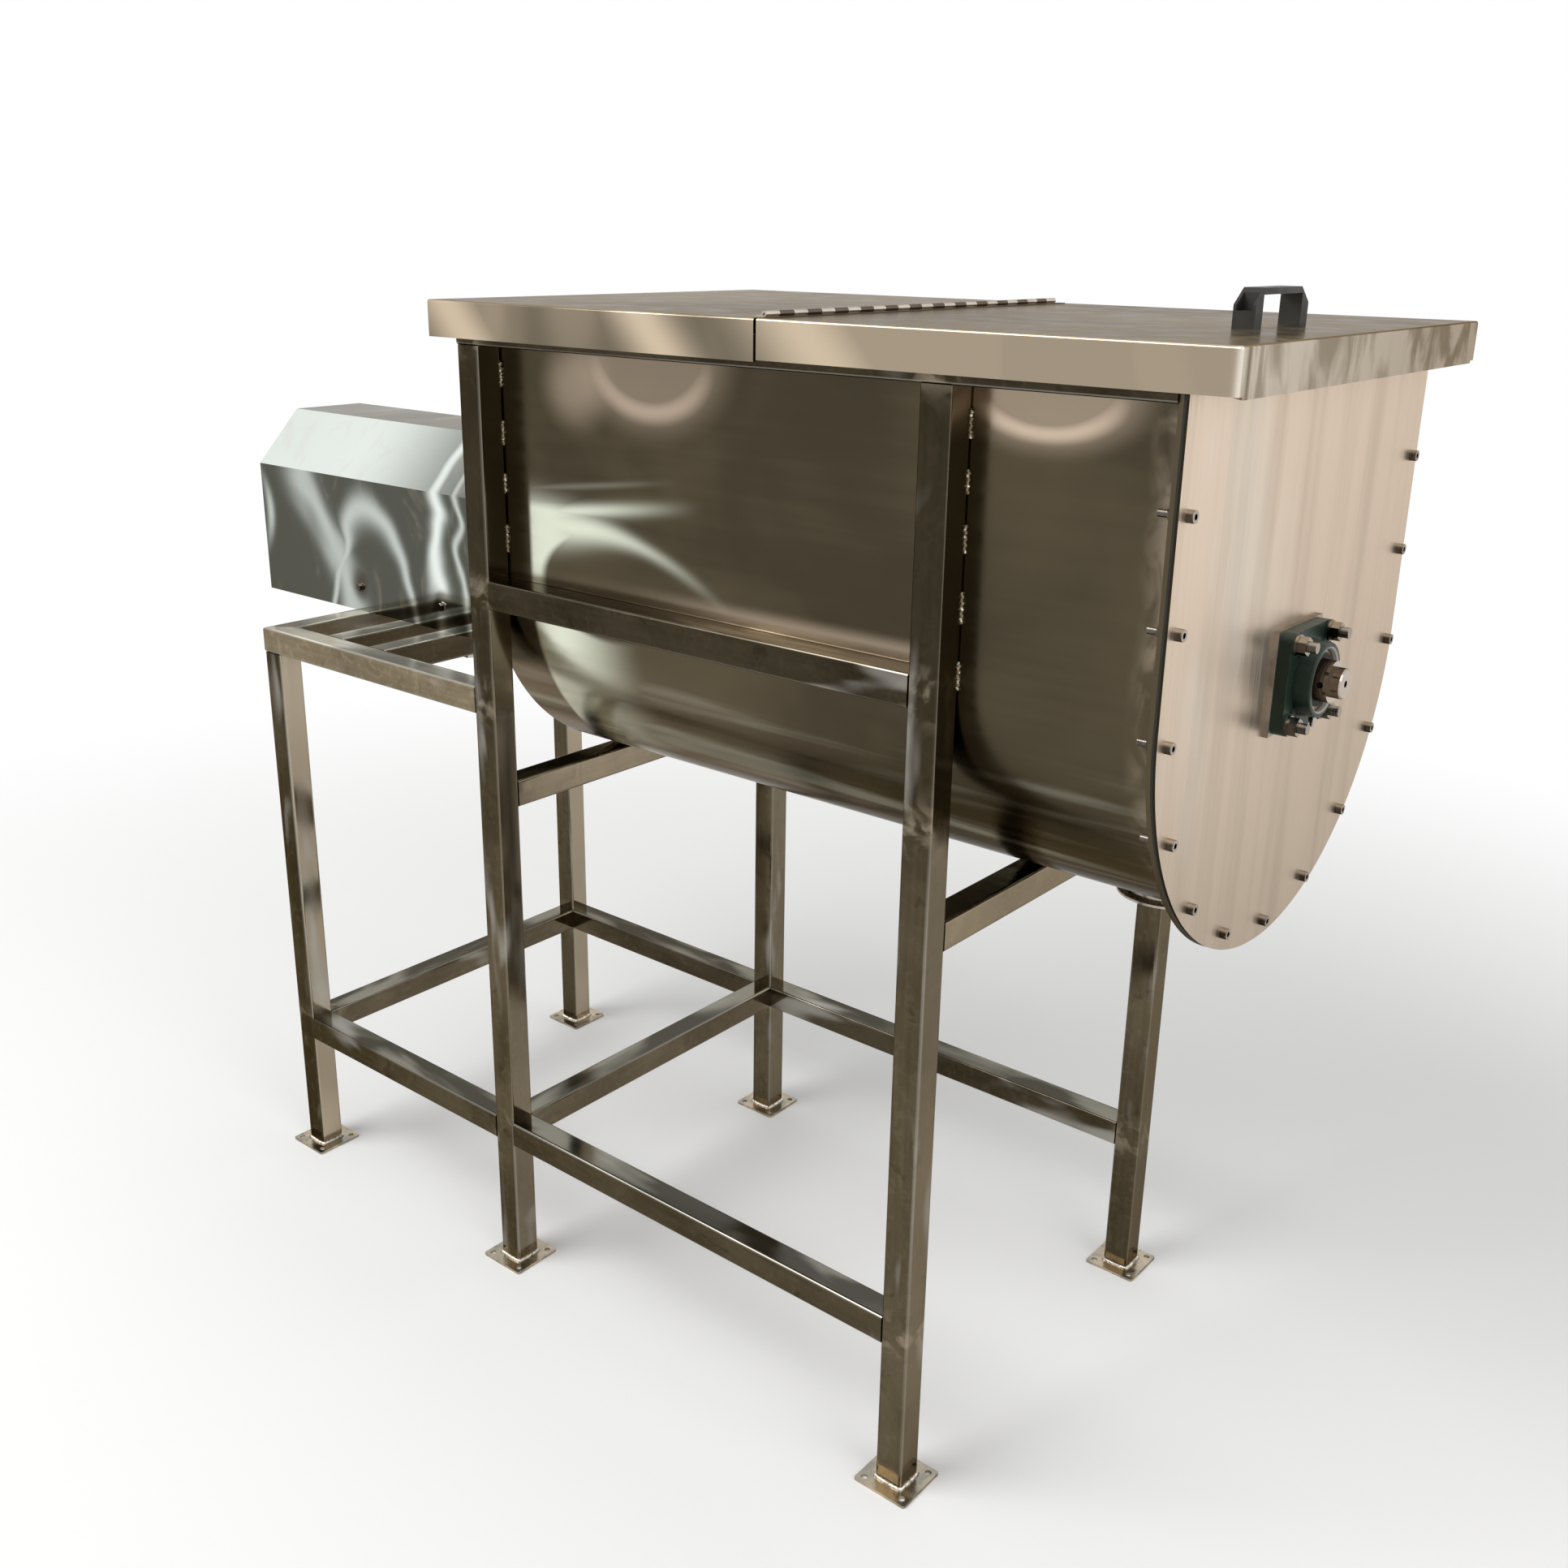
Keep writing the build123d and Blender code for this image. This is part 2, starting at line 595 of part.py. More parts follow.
def knuckle_places(moving):
    """Start points of the fixed or the moving knuckles along the hinge; the fixed leaf has both ends."""
    free = 2 * (LID_HALF_WIDTH - HINGE_END_MARGIN)
    count = int(free / KNUCKLE_LENGTH)
    count -= 1 - count % 2
    start = -count * KNUCKLE_LENGTH / 2
    first = 1 if moving else 0
    return [start + index * KNUCKLE_LENGTH for index in range(first, count, 2)]


def hinge_leaf(moving):
    """Leaf plate with its rolled knuckles and the fingers that join them."""
    side = 1 if moving else -1
    ends = knuckle_places(False)
    reach = KNUCKLE / 2 + KNUCKLE_GAP
    edges = sorted((SEAM_X + side * reach, SEAM_X + side * LEAF_WIDTH))
    top = LID_TOP + LEAF_THICK
    leaf = block((edges[0], ends[0], LID_TOP), (edges[1], ends[-1] + KNUCKLE_LENGTH, top))
    length = KNUCKLE_LENGTH - KNUCKLE_GAP
    for place in knuckle_places(moving):
        y = place + KNUCKLE_GAP / 2
        fingers = sorted((SEAM_X, SEAM_X + side * reach))
        leaf += block((fingers[0], y, LID_TOP), (fingers[1], y + length, top))
        leaf += rod(KNUCKLE, (SEAM_X, y, HINGE_Z), length, "Y")
        leaf -= rod(HINGE_PIN + 2 * PIN_CLEARANCE, (SEAM_X, y, HINGE_Z), length, "Y")
    return leaf


def hinge_pin():
    ends = knuckle_places(False)
    start = ends[0] + KNUCKLE_GAP / 2
    return rod(HINGE_PIN, (SEAM_X, start, HINGE_Z), ends[-1] + KNUCKLE_LENGTH - KNUCKLE_GAP / 2 - start, "Y")


def handle_screw_places():
    middle = HANDLE_LENGTH / 2 - HANDLE_LEG / 2
    return (-middle, middle)


def lid_handle():
    """Moulded bridge handle with a pocket in each sloping end."""
    half = HANDLE_LENGTH / 2
    top_half = HANDLE_TOP_LENGTH / 2
    inner = half - HANDLE_LEG
    under = HANDLE_HEIGHT - HANDLE_GRIP
    outline = Polyline(
        (-half, 0),
        (-half, HANDLE_SHOULDER),
        (-top_half, HANDLE_HEIGHT),
        (top_half, HANDLE_HEIGHT),
        (half, HANDLE_SHOULDER),
        (half, 0),
        (inner, 0),
        (inner, under),
        (-inner, under),
        (-inner, 0),
        close=True,
    )
    handle = extrude(Plane.YZ * make_face(outline), amount=HANDLE_DEPTH / 2, both=True)
    for side in (-1, 1):
        ys = sorted((side * (inner + HANDLE_SKIN), side * half))
        reach = HANDLE_DEPTH / 2 - HANDLE_WALL
        handle -= block((-reach, ys[0], HANDLE_BASE), (reach, ys[1], HANDLE_HEIGHT))
    handle = Pos(HANDLE_X, 0, LID_TOP) * handle
    for y in handle_screw_places():
        handle -= rod(HANDLE_SCREW, (HANDLE_X, y, LID_TOP), HANDLE_SCREW_REACH, "Z")
    return handle


def handle_screws():
    screws = []
    for y in handle_screw_places():
        screw = rod(HANDLE_SCREW, (HANDLE_X, y, LID_UNDER), SHEET + HANDLE_SCREW_REACH, "Z")
        screw += rod(HANDLE_SCREW_HEAD, (HANDLE_X, y, LID_UNDER), -HANDLE_SCREW_HEAD_HEIGHT, "Z")
        screws.append(screw)
    return group(screws)


# Flange bearings, drawn with the mounting face at the origin and the shaft along +X

def at_both_bearings(piece):
    """The right-hand piece and the left-hand one turned about the vertical."""
    right = Pos(RIGHT_BEARING_X, 0, AXIS_HEIGHT) * piece
    left = Pos(LEFT_BEARING_X, 0, AXIS_HEIGHT) * Rot(0, 0, 180) * piece
    return right, left


def bearing_hub():
    hub = extrude(Plane.YZ * Circle(BEARING_HUB / 2), amount=BEARING_HUB_DEPTH, taper=BEARING_HUB_TAPER)
    return fillet(hub.faces().sort_by(Axis.X)[-1].edges(), BEARING_HUB_EDGE)


def bearing_bore():
    """Bore of the housing, with a lead-in at the mouth of the hub."""
    radius = BEARING_OUTER_RING / 2
    mouth = Pos(BEARING_HUB_DEPTH - BEARING_LEAD_IN / 2, 0, 0) * Rot(0, 90, 0)
    lead_in = mouth * Cone(radius, radius + BEARING_LEAD_IN, BEARING_LEAD_IN)
    return rod(BEARING_OUTER_RING, (0, 0, 0), BEARING_HUB_DEPTH) + lead_in


def bearing_housings():
    """Square cast housings with corner pads, diagonal ribs and a tapered hub."""
    outline = RectangleRounded(BEARING_FLANGE, BEARING_FLANGE, BEARING_CORNER)
    body = extrude(Plane.YZ * outline, amount=BEARING_FLANGE_THICK)
    for y, z in four_corners(BEARING_BOLT_SPACING, BEARING_BOLT_SPACING):
        pad = extrude(Plane.YZ * (Pos(y, z) * Circle(BEARING_PAD / 2)), amount=BEARING_PAD_HEIGHT)
        body += pad & extrude(Plane.YZ * outline, amount=BEARING_PAD_HEIGHT)
    diagonal = BEARING_BOLT_SPACING * math.sqrt(2)
    for turn in (45, 135):
        body += extrude(Plane.YZ * (Rot(0, 0, turn) * Rectangle(diagonal, BEARING_RIB)), amount=BEARING_PAD_HEIGHT)
    body += bearing_hub()
    body -= bearing_bore()
    for y, z in four_corners(BEARING_BOLT_SPACING, BEARING_BOLT_SPACING):
        body -= rod(BEARING_STUD + 2 * SCREW_CLEARANCE, (0, y, z), BEARING_PAD_HEIGHT)
    return group(at_both_bearings(body))


def bearing_plates():
    plate = extrude(Plane.YZ * Rectangle(BEARING_PLATE, BEARING_PLATE), amount=-BEARING_PLATE_THICK)
    plate -= rod(SEAL_RING, (-BEARING_PLATE_THICK, 0, 0), BEARING_PLATE_THICK)
    return group(at_both_bearings(plate))


def shaft_seals():
    ring = rod(SEAL_RING, (-BEARING_PLATE_THICK, 0, 0), BEARING_PLATE_THICK)
    bore = SHAFT_SEALED + 2 * SEAL_RING_CLEARANCE
    ring -= rod(bore, (-BEARING_PLATE_THICK, 0, 0), BEARING_PLATE_THICK)
    return group(at_both_bearings(ring))


def bearing_outer_rings():
    front = BEARING_CENTRE + BEARING_OUTER_WIDTH / 2
    ring = rod(BEARING_OUTER_RING, (front, 0, 0), -BEARING_OUTER_WIDTH)
    ring -= rod(BEARING_RING + 2 * BEARING_RUN_GAP, (front, 0, 0), -BEARING_OUTER_WIDTH)
    ring -= rod(BEARING_SEAL, (front, 0, 0), -BEARING_SEAL_THICK)
    return group(at_both_bearings(ring))


def bearing_seals():
    """Seals let into the outer faces of the outer rings."""
    front = BEARING_CENTRE + BEARING_OUTER_WIDTH / 2
    seal = rod(BEARING_SEAL, (front, 0, 0), -BEARING_SEAL_THICK)
    seal -= rod(BEARING_RING + 2 * BEARING_RUN_GAP, (front, 0, 0), -BEARING_SEAL_THICK)
    return group(at_both_bearings(seal))


def bearing_inner_rings():
    """Inner rings with two set screw holes each."""
    length = BEARING_RING_END - BEARING_RING_START
    ring = rod(BEARING_RING, (BEARING_RING_START, 0, 0), length)
    ring -= rod(SHAFT_BEARING + 2 * BEARING_FIT, (BEARING_RING_START, 0, 0), length)
    for turn in (0, SET_SCREW_TURN):
        hole = rod(SET_SCREW, (BEARING_RING_END - SET_SCREW_SETBACK, -BEARING_RING / 2, 0), SET_SCREW_DEPTH, "Y")
        ring -= Rot(turn, 0, 0) * hole
    return group(at_both_bearings(ring))


def bearing_studs():
    """Studs with their washers and nuts."""
    pieces = []
    nut_x = BEARING_PAD_HEIGHT + BEARING_WASHER_THICK
    for y, z in four_corners(BEARING_BOLT_SPACING, BEARING_BOLT_SPACING):
        stud = rod(BEARING_STUD, (0, y, z), nut_x + BEARING_NUT_HEIGHT + BEARING_STUD_END)
        hole = rod(BEARING_STUD + NUT_CLEARANCE, (0, y, z), nut_x + BEARING_NUT_HEIGHT)
        washer = rod(BEARING_WASHER, (BEARING_PAD_HEIGHT, y, z), BEARING_WASHER_THICK) - hole
        nut = hexagon_bar(BEARING_NUT, (nut_x, y, z), BEARING_NUT_HEIGHT) - hole
        for piece in (stud, washer, nut):
            pieces.extend(at_both_bearings(piece))
    return group(pieces)


def grease_nipples():
    """Nipples under the hubs, seated on the hub's cone."""
    shoulder = -BEARING_HUB / 2 - NIPPLE_HEX_HEIGHT
    nipple = hexagon_bar(NIPPLE_HEX, (NIPPLE_X, 0, shoulder), BEARING_HUB / 2 - BEARING_OUTER_RING / 2, "Z")
    nipple += rod(NIPPLE_TIP, (NIPPLE_X, 0, shoulder), -NIPPLE_TIP_HEIGHT, "Z")
    nipple -= bearing_hub()
    return group(at_both_bearings(nipple))


# Agitator

def spoke_places():
    """Station along X and angle of every through spoke, where both ribbons cross it."""
    steps = int(RIBBON_TURNS * SPOKE_STEPS_PER_TURN)
    start = RIBBON_START_X + RIBBON_OVERRUN
    pitch = RIBBON_PITCH / SPOKE_STEPS_PER_TURN
    turn = 360 / SPOKE_STEPS_PER_TURN
    return [(start + step * pitch, step * turn % 180) for step in range(steps + 1)]


def spoke(x, angle):
    length = 2 * (OUTER_RIBBON_OUTER - SPOKE_END_GAP)
    return Pos(x, 0, AXIS_HEIGHT) * Rot(angle, 0, 0) * rod(SPOKE, (0, -length / 2, 0), length, "Y")


def agitator_spokes():
    return group([spoke(x, angle) for x, angle in spoke_places()])


def agitator_shaft():
    """Turned shaft: thick body in the trough, sealed necks, bearing seats and a longer drive end."""
    left_neck = LEFT_BEARING_X - BEARING_RING_START
    right_neck = RIGHT_BEARING_X + BEARING_RING_START
    left_end = COUPLING_X - COUPLING_HUB_LENGTH
    right_end = END_FACE_X + BEARING_REACH + SHAFT_STICK_OUT
    body_start = TROUGH_X + LEFT_PLATE_THICK + SHAFT_BODY_GAP
    body_end = END_PLATE_X - SHAFT_BODY_GAP
    shaft = rod(SHAFT_BEARING, (left_end, 0, AXIS_HEIGHT), right_end - left_end)
    shaft = chamfer(shaft.edges().filter_by(GeomType.CIRCLE), SHAFT_CHAMFER)
    shaft += rod(SHAFT_SEALED, (left_neck, 0, AXIS_HEIGHT), right_neck - left_neck)
    shaft += rod(SHAFT_BODY, (body_start, 0, AXIS_HEIGHT), body_end - body_start)
    for x, angle in spoke_places():
        shaft -= spoke(x, angle)
    return shaft - rod(CENTRE_DRILL, (right_end, 0, AXIS_HEIGHT), -CENTRE_DRILL_DEPTH)


def ribbon(outer, width, hand, side):
    """Helicoid strips of one hand that lie against one side of the spokes."""
    inner = outer - width
    slope = RIBBON_PITCH / (2 * math.pi * inner)
    offset = (SPOKE / 2 + SPOKE_TOUCH) * math.sqrt(1 + slope ** 2) + RIBBON_THICK / 2
    arc = 360 * RIBBON_THICK / RIBBON_PITCH
    length = RIBBON_LENGTH
    turn = hand * 360 * length / RIBBON_PITCH
    first = RIBBON_OVERRUN + side * offset
    strips = []
    for start in range(RIBBON_STARTS):
        twist = 360 * start / RIBBON_STARTS - hand * 360 * first / RIBBON_PITCH
        face = sector(inner, outer, arc).face()
        strip = Solid.extrude_linear_with_rotation(face, (0, 0, 0), (0, 0, length), turn)
        strips.append(Pos(RIBBON_START_X, 0, AXIS_HEIGHT) * Rot(0, 90, 0) * Rot(0, 0, twist + 90) * strip)
    return group(strips)


# Drive

def jaw_ring(start, length, inner, outer, angle, count, first):
    """Ring sectors round the axis, evenly spaced."""
    ring = None
    for index in range(count):
        face = Rot(0, 0, first + 360 * index / count) * sector(inner, outer, angle)
        jaw = Pos(start, 0, 0) * extrude(Plane.YZ * face, amount=length)
        ring = jaw if ring is None else ring + jaw
    return ring


def coupling_hub(face_x, direction, bore, first):
    """Coupling half; its jaws stand on the given face and point along the given direction."""
    hub = rod(COUPLING_HUB, (face_x, 0, 0), -direction * COUPLING_HUB_LENGTH)
    inner = COUPLING_JAW_INNER / 2
    outer = COUPLING_HUB / 2
    length = COUPLING_JAW_LENGTH - SPIDER_CLEARANCE
    start = face_x if direction > 0 else face_x - length
    hub += jaw_ring(start, length, inner, outer, COUPLING_JAW_ANGLE, COUPLING_JAWS, first)
    hub -= rod(bore, (face_x, 0, 0), -direction * COUPLING_HUB_LENGTH)
    return Pos(0, 0, AXIS_HEIGHT) * hub


def coupling_hubs():
    agitator_face = COUPLING_X - COUPLING_HUB_LENGTH
    gearbox_face = agitator_face - COUPLING_JAW_LENGTH
    driven = coupling_hub(agitator_face, -1, SHAFT_BEARING, 0)
    driver = coupling_hub(gearbox_face, 1, GEARBOX_SHAFT, 180 / COUPLING_JAWS)
    return group([driven, driver])


def coupling_spider():
    """Rubber star between the jaws of the two coupling halves."""
    start = COUPLING_X - COUPLING_HUB_LENGTH - COUPLING_JAW_LENGTH
    lobes = 2 * COUPLING_JAWS
    gap = math.degrees(2 * SPIDER_CLEARANCE / COUPLING_JAW_INNER)
    angle = 360 / lobes - COUPLING_JAW_ANGLE - 2 * gap
    inner = COUPLING_JAW_INNER / 2 - 2 * SPIDER_CLEARANCE
    spider = jaw_ring(start, COUPLING_JAW_LENGTH, inner / 2, COUPLING_HUB / 2, angle, lobes, 180 / lobes)
    spider += rod(2 * inner, (start, 0, 0), COUPLING_JAW_LENGTH)
    return Pos(0, 0, AXIS_HEIGHT) * (spider - rod(SPIDER_HOLE, (start, 0, 0), COUPLING_JAW_LENGTH))


def gearbox_shaft():
    end = COUPLING_X - COUPLING_HUB_LENGTH - COUPLING_JAW_LENGTH
    return rod(GEARBOX_SHAFT, (SNOUT_X, 0, AXIS_HEIGHT), end - SNOUT_X)


def gearbox_bolt_places():
    return [(x, y) for x in (LEFT_SLAT_X, RIGHT_SLAT_X) for y in (-GEARBOX_BOLT_ROW / 2, GEARBOX_BOLT_ROW / 2)]


def gearbox():
    """Foot-mounted inline gear housing with an output snout, a motor flange and an inspection lid."""
    height = AXIS_HEIGHT + GEARBOX_RISE - TABLE_TOP
    section = Pos(0, height / 2) * RectangleRounded(GEARBOX_WIDTH, height, GEARBOX_CORNER)
    body = Pos(GEARBOX_REAR_X, 0, TABLE_TOP) * extrude(Plane.YZ * section, amount=GEARBOX_LENGTH)
    foot = RectangleRounded(GEARBOX_FOOT_LENGTH, GEARBOX_FOOT_WIDTH, GEARBOX_FOOT_CORNER)
    body += Pos(GEARBOX_X, 0, TABLE_TOP) * extrude(foot, amount=GEARBOX_FOOT_THICK)
    snout = loft([
        Plane.YZ.offset(GEARBOX_FRONT_X) * (Pos(0, AXIS_HEIGHT) * Circle(GEARBOX_SNOUT / 2)),
        Plane.YZ.offset(SNOUT_X) * (Pos(0, AXIS_HEIGHT) * Circle(GEARBOX_SNOUT_END / 2)),
    ])
    body += snout
    body += rod(MOTOR_FLANGE, (GEARBOX_REAR_X, 0, AXIS_HEIGHT), -MOTOR_FLANGE_THICK)
    lid = RectangleRounded(GEARBOX_LID, GEARBOX_LID, GEARBOX_FOOT_CORNER)
    body += Pos(GEARBOX_X, 0, AXIS_HEIGHT + GEARBOX_RISE) * extrude(lid, amount=GEARBOX_LID_THICK)
    for x, y in gearbox_bolt_places():
        body -= rod(GEARBOX_BOLT + SCREW_CLEARANCE, (x, y, TABLE_TOP), GEARBOX_FOOT_THICK, "Z")
    return body


def gearbox_bolts():
    """Hexagon bolts from under the slats with their nuts on the gearbox foot."""
    pieces = []
    under = TABLE_TOP - TUBE
    top = TABLE_TOP + GEARBOX_FOOT_THICK
    for x, y in gearbox_bolt_places():
        bolt = rod(GEARBOX_BOLT, (x, y, under), top + GEARBOX_NUT_HEIGHT + GEARBOX_BOLT_END - under, "Z")
        bolt += hexagon_bar(GEARBOX_BOLT_HEAD, (x, y, under), -GEARBOX_BOLT_HEAD_HEIGHT, "Z")
        nut = hexagon_bar(GEARBOX_BOLT_HEAD, (x, y, top), GEARBOX_NUT_HEIGHT, "Z")
        nut -= rod(GEARBOX_BOLT + NUT_CLEARANCE, (x, y, top), GEARBOX_NUT_HEIGHT, "Z")
        pieces.extend([bolt, nut])
    return group(pieces)


def motor():
    """Finned motor body."""
    radius = MOTOR_BODY / 2
    section = Circle(radius)
    fin = Pos(radius + MOTOR_FIN_HEIGHT / 2 - MOTOR_FIN_THICK / 2, 0)
    fin *= Rectangle(MOTOR_FIN_HEIGHT + MOTOR_FIN_THICK, MOTOR_FIN_THICK)
    for index in range(MOTOR_FINS):
        section += Rot(0, 0, 360 * (index + 0.5) / MOTOR_FINS) * fin
    body = Pos(COWL_X, 0, AXIS_HEIGHT) * extrude(Plane.YZ * section, amount=MOTOR_LENGTH)
    return body - terminal_seat()


def terminal_seat():
    """Space of the terminal box down to its flat seat on the motor body."""
    x = MOTOR_X - MOTOR_LENGTH / 2
    low = AXIS_HEIGHT + MOTOR_BODY / 2 - MOTOR_FIN_THICK
    high = AXIS_HEIGHT + MOTOR_BODY
    half = TERMINAL_LENGTH / 2
    return block((x - half, -TERMINAL_WIDTH / 2, low), (x + half, TERMINAL_WIDTH / 2, high))


def terminal_box():
    """Connection box with a raised lid and a cable gland, on a flat of the motor body."""
    x = MOTOR_X - MOTOR_LENGTH / 2
    low = AXIS_HEIGHT + MOTOR_BODY / 2 - MOTOR_FIN_THICK
    outline = RectangleRounded(TERMINAL_LENGTH, TERMINAL_WIDTH, TERMINAL_ROUND)
    lid = RectangleRounded(
        TERMINAL_LENGTH - 2 * TERMINAL_LID_EDGE, TERMINAL_WIDTH - 2 * TERMINAL_LID_EDGE, TERMINAL_ROUND
    )
    box = extrude(outline, amount=TERMINAL_HEIGHT - TERMINAL_LID)
    box += Pos(0, 0, TERMINAL_HEIGHT - TERMINAL_LID) * extrude(lid, amount=TERMINAL_LID)
    gland_z = (TERMINAL_HEIGHT - TERMINAL_LID + MOTOR_FIN_HEIGHT) / 2
    box += hexagon_bar(GLAND, (0, TERMINAL_WIDTH / 2, gland_z), GLAND_LENGTH, "Y")
    box -= rod(GLAND_BORE, (0, TERMINAL_WIDTH / 2, gland_z), GLAND_LENGTH, "Y")
    return Pos(x, 0, low) * box


def motor_fan_cowl():
    """Pressed cowl over the fan end with radial air slots."""
    length = MOTOR_COWL_LENGTH
    cowl = rod(MOTOR_COWL, (0, 0, 0), -length)
    cowl = fillet(cowl.faces().sort_by(Axis.X)[0].edges(), MOTOR_COWL_ROUND)
    inside = rod(MOTOR_COWL - 2 * MOTOR_COWL_SHEET, (0, 0, 0), MOTOR_COWL_SHEET - length)
    cowl -= fillet(inside.faces().sort_by(Axis.X)[0].edges(), MOTOR_COWL_ROUND - MOTOR_COWL_SHEET)
    slot = Pos((COWL_SLOT_START + COWL_SLOT_END) / 2, 0)
    slot *= SlotOverall(COWL_SLOT_END - COWL_SLOT_START, COWL_SLOT_WIDTH)
    for index in range(COWL_SLOTS):
        face = Plane.YZ.offset(-length) * (Rot(0, 0, 360 * index / COWL_SLOTS) * slot)
        cowl -= extrude(face, amount=MOTOR_COWL_SHEET)
    return Pos(COWL_X, 0, AXIS_HEIGHT) * cowl


def cover_outline():
    """Five-facet cross-section of the motor cover above the table."""
    wall_top = TABLE_TOP + COVER_WALL_HEIGHT
    top = TABLE_TOP + COVER_HEIGHT
    return make_face(Polyline(
        (-COVER_HALF_WIDTH, TABLE_TOP),
        (-COVER_HALF_WIDTH, wall_top),
        (-COVER_TOP_HALF_WIDTH, top),
        (COVER_TOP_HALF_WIDTH, top),
        (COVER_HALF_WIDTH, wall_top),
        (COVER_HALF_WIDTH, TABLE_TOP),
        close=True,
    ))


def motor_cover():
    """Folded sheet cover, open below and towards the trough, with a vented left end."""
    outer = cover_outline()
    inner = offset(cover_outline(), amount=-COVER_SHEET, kind=Kind.INTERSECTION)
    inner += Pos(0, TABLE_TOP) * Rectangle(2 * (COVER_HALF_WIDTH - COVER_SHEET), 2 * COVER_SCREW_HEIGHT)
    length = COVER_RIGHT_X - COVER_LEFT_X
    cover = Pos(COVER_LEFT_X, 0, 0) * extrude(Plane.YZ * outer, amount=length)
    cover -= Pos(COVER_LEFT_X + COVER_SHEET, 0, 0) * extrude(Plane.YZ * inner, amount=length)
    for index in range(VENT_SLOTS):
        z = TABLE_TOP + VENT_RISE + (index - (VENT_SLOTS - 1) / 2) * VENT_SLOT_PITCH
        slot = Plane.YZ.offset(COVER_LEFT_X) * (Pos(0, z) * SlotOverall(VENT_SLOT_LENGTH, VENT_SLOT_WIDTH))
        cover -= extrude(slot, amount=COVER_SHEET)
    for x, side in cover_screw_places():
        y = side * COVER_HALF_WIDTH
        cover -= rod(COVER_SCREW + SCREW_CLEARANCE, (x, y, TABLE_TOP + COVER_SCREW_HEIGHT),
                     -side * COVER_SHEET, "Y")
    return cover


def cover_screw_places():
    return [(x, side) for x in (LEFT_LEG_X, RIGHT_SLAT_X - BRACKET_SHIFT) for side in (-1, 1)]


def cover_brackets():
    """Angle tabs that stand on the table behind the cover's walls."""
    brackets = []
    for x, side in cover_screw_places():
        outer = side * (COVER_HALF_WIDTH - COVER_SHEET)
        ys = sorted((outer, outer - side * BRACKET_BASE))
        upright = sorted((outer, outer - side * BRACKET_SHEET))
        half = BRACKET_WIDTH / 2
        tab = block((x - half, ys[0], TABLE_TOP), (x + half, ys[1], TABLE_TOP + BRACKET_SHEET))
        tab += block((x - half, upright[0], TABLE_TOP), (x + half, upright[1], TABLE_TOP + BRACKET_HEIGHT))
        tab -= rod(COVER_SCREW + SCREW_CLEARANCE, (x, outer, TABLE_TOP + COVER_SCREW_HEIGHT),
                   -side * BRACKET_SHEET, "Y")
        brackets.append(tab)
    return group(brackets)


def cover_screws():
    """Screws with washers through the cover into the tabs."""
    screws = []
    z = TABLE_TOP + COVER_SCREW_HEIGHT
    for x, side in cover_screw_places():
        face = side * COVER_HALF_WIDTH
        seat = face + side * COVER_WASHER_THICK
        reach = COVER_WASHER_THICK + COVER_SHEET + BRACKET_SHEET + COVER_SCREW_END
        screw = rod(COVER_WASHER, (x, face, z), side * COVER_WASHER_THICK, "Y")
        screw += hexagon_bar(COVER_SCREW_HEAD, (x, seat, z), side * COVER_SCREW_HEAD_HEIGHT, "Y")
        screw += rod(COVER_SCREW, (x, seat, z), -side * reach, "Y")
        screws.append(screw)
    return group(screws)


# The assembly, one file for each named piece

SIDES = {"front": -1, "back": 1}
pieces = {}

for name, side in SIDES.items():
    y = side * LEG_Y
    pieces[f"leg_{name}_right"] = leg(RIGHT_LEG_X, y, LEG_TOP)
    pieces[f"leg_{name}_middle"] = leg(MIDDLE_LEG_X, y, LEG_TOP)
    pieces[f"leg_{name}_left"] = leg(LEFT_LEG_X, y, TABLE_TOP - TUBE)
    pieces[f"lower_rail_{name}_left"] = long_rail(LEFT_LEG_X, MIDDLE_LEG_X, y, LOWER_RAIL_TOP)
    pieces[f"lower_rail_{name}_right"] = long_rail(MIDDLE_LEG_X, RIGHT_LEG_X, y, LOWER_RAIL_TOP)
    pieces[f"side_rail_{name}"] = long_rail(MIDDLE_LEG_X, RIGHT_LEG_X, y, SIDE_RAIL_TOP)
    pieces[f"top_rail_{name}"] = top_rail(side)
    pieces[f"table_rail_{name}"] = table_long_rail(side)

pieces["foot_plates"] = foot_plates()
pieces["lower_cross_rails"] = group([cross_rail(x, LOWER_RAIL_TOP) for x in (LEFT_LEG_X, MIDDLE_LEG_X)])
pieces["trough_cross_rails"] = group([cross_rail(x, TROUGH_BOTTOM) for x in (MIDDLE_LEG_X, RIGHT_LEG_X)])
pieces["table_rail_end"] = table_end_rail()
pieces["table_slats"] = group([table_slat(x) for x in (LEFT_SLAT_X, RIGHT_SLAT_X)])

pieces["trough_shell"] = trough_shell()
pieces["trough_left_plate"] = trough_left_plate()
pieces["trough_flange"] = bolted_strip(FLANGE_X, FLANGE_THICK, TROUGH_RADIUS)
pieces["end_gasket"] = bolted_strip(GASKET_X, GASKET_THICK, INNER_RADIUS)
pieces["end_plate"] = end_plate()
pieces["end_plate_bolts"] = end_plate_bolts()
pieces["outlet_spout"] = outlet_spout()

pieces["fixed_cover"] = fixed_cover()
pieces["hinged_lid"] = hinged_lid()
pieces["lid_seal"] = lid_seal()
pieces["hinge_leaf_fixed"] = hinge_leaf(moving=False)
pieces["hinge_leaf_moving"] = hinge_leaf(moving=True)
pieces["hinge_pin"] = hinge_pin()
pieces["lid_handle"] = lid_handle()
pieces["handle_screws"] = handle_screws()

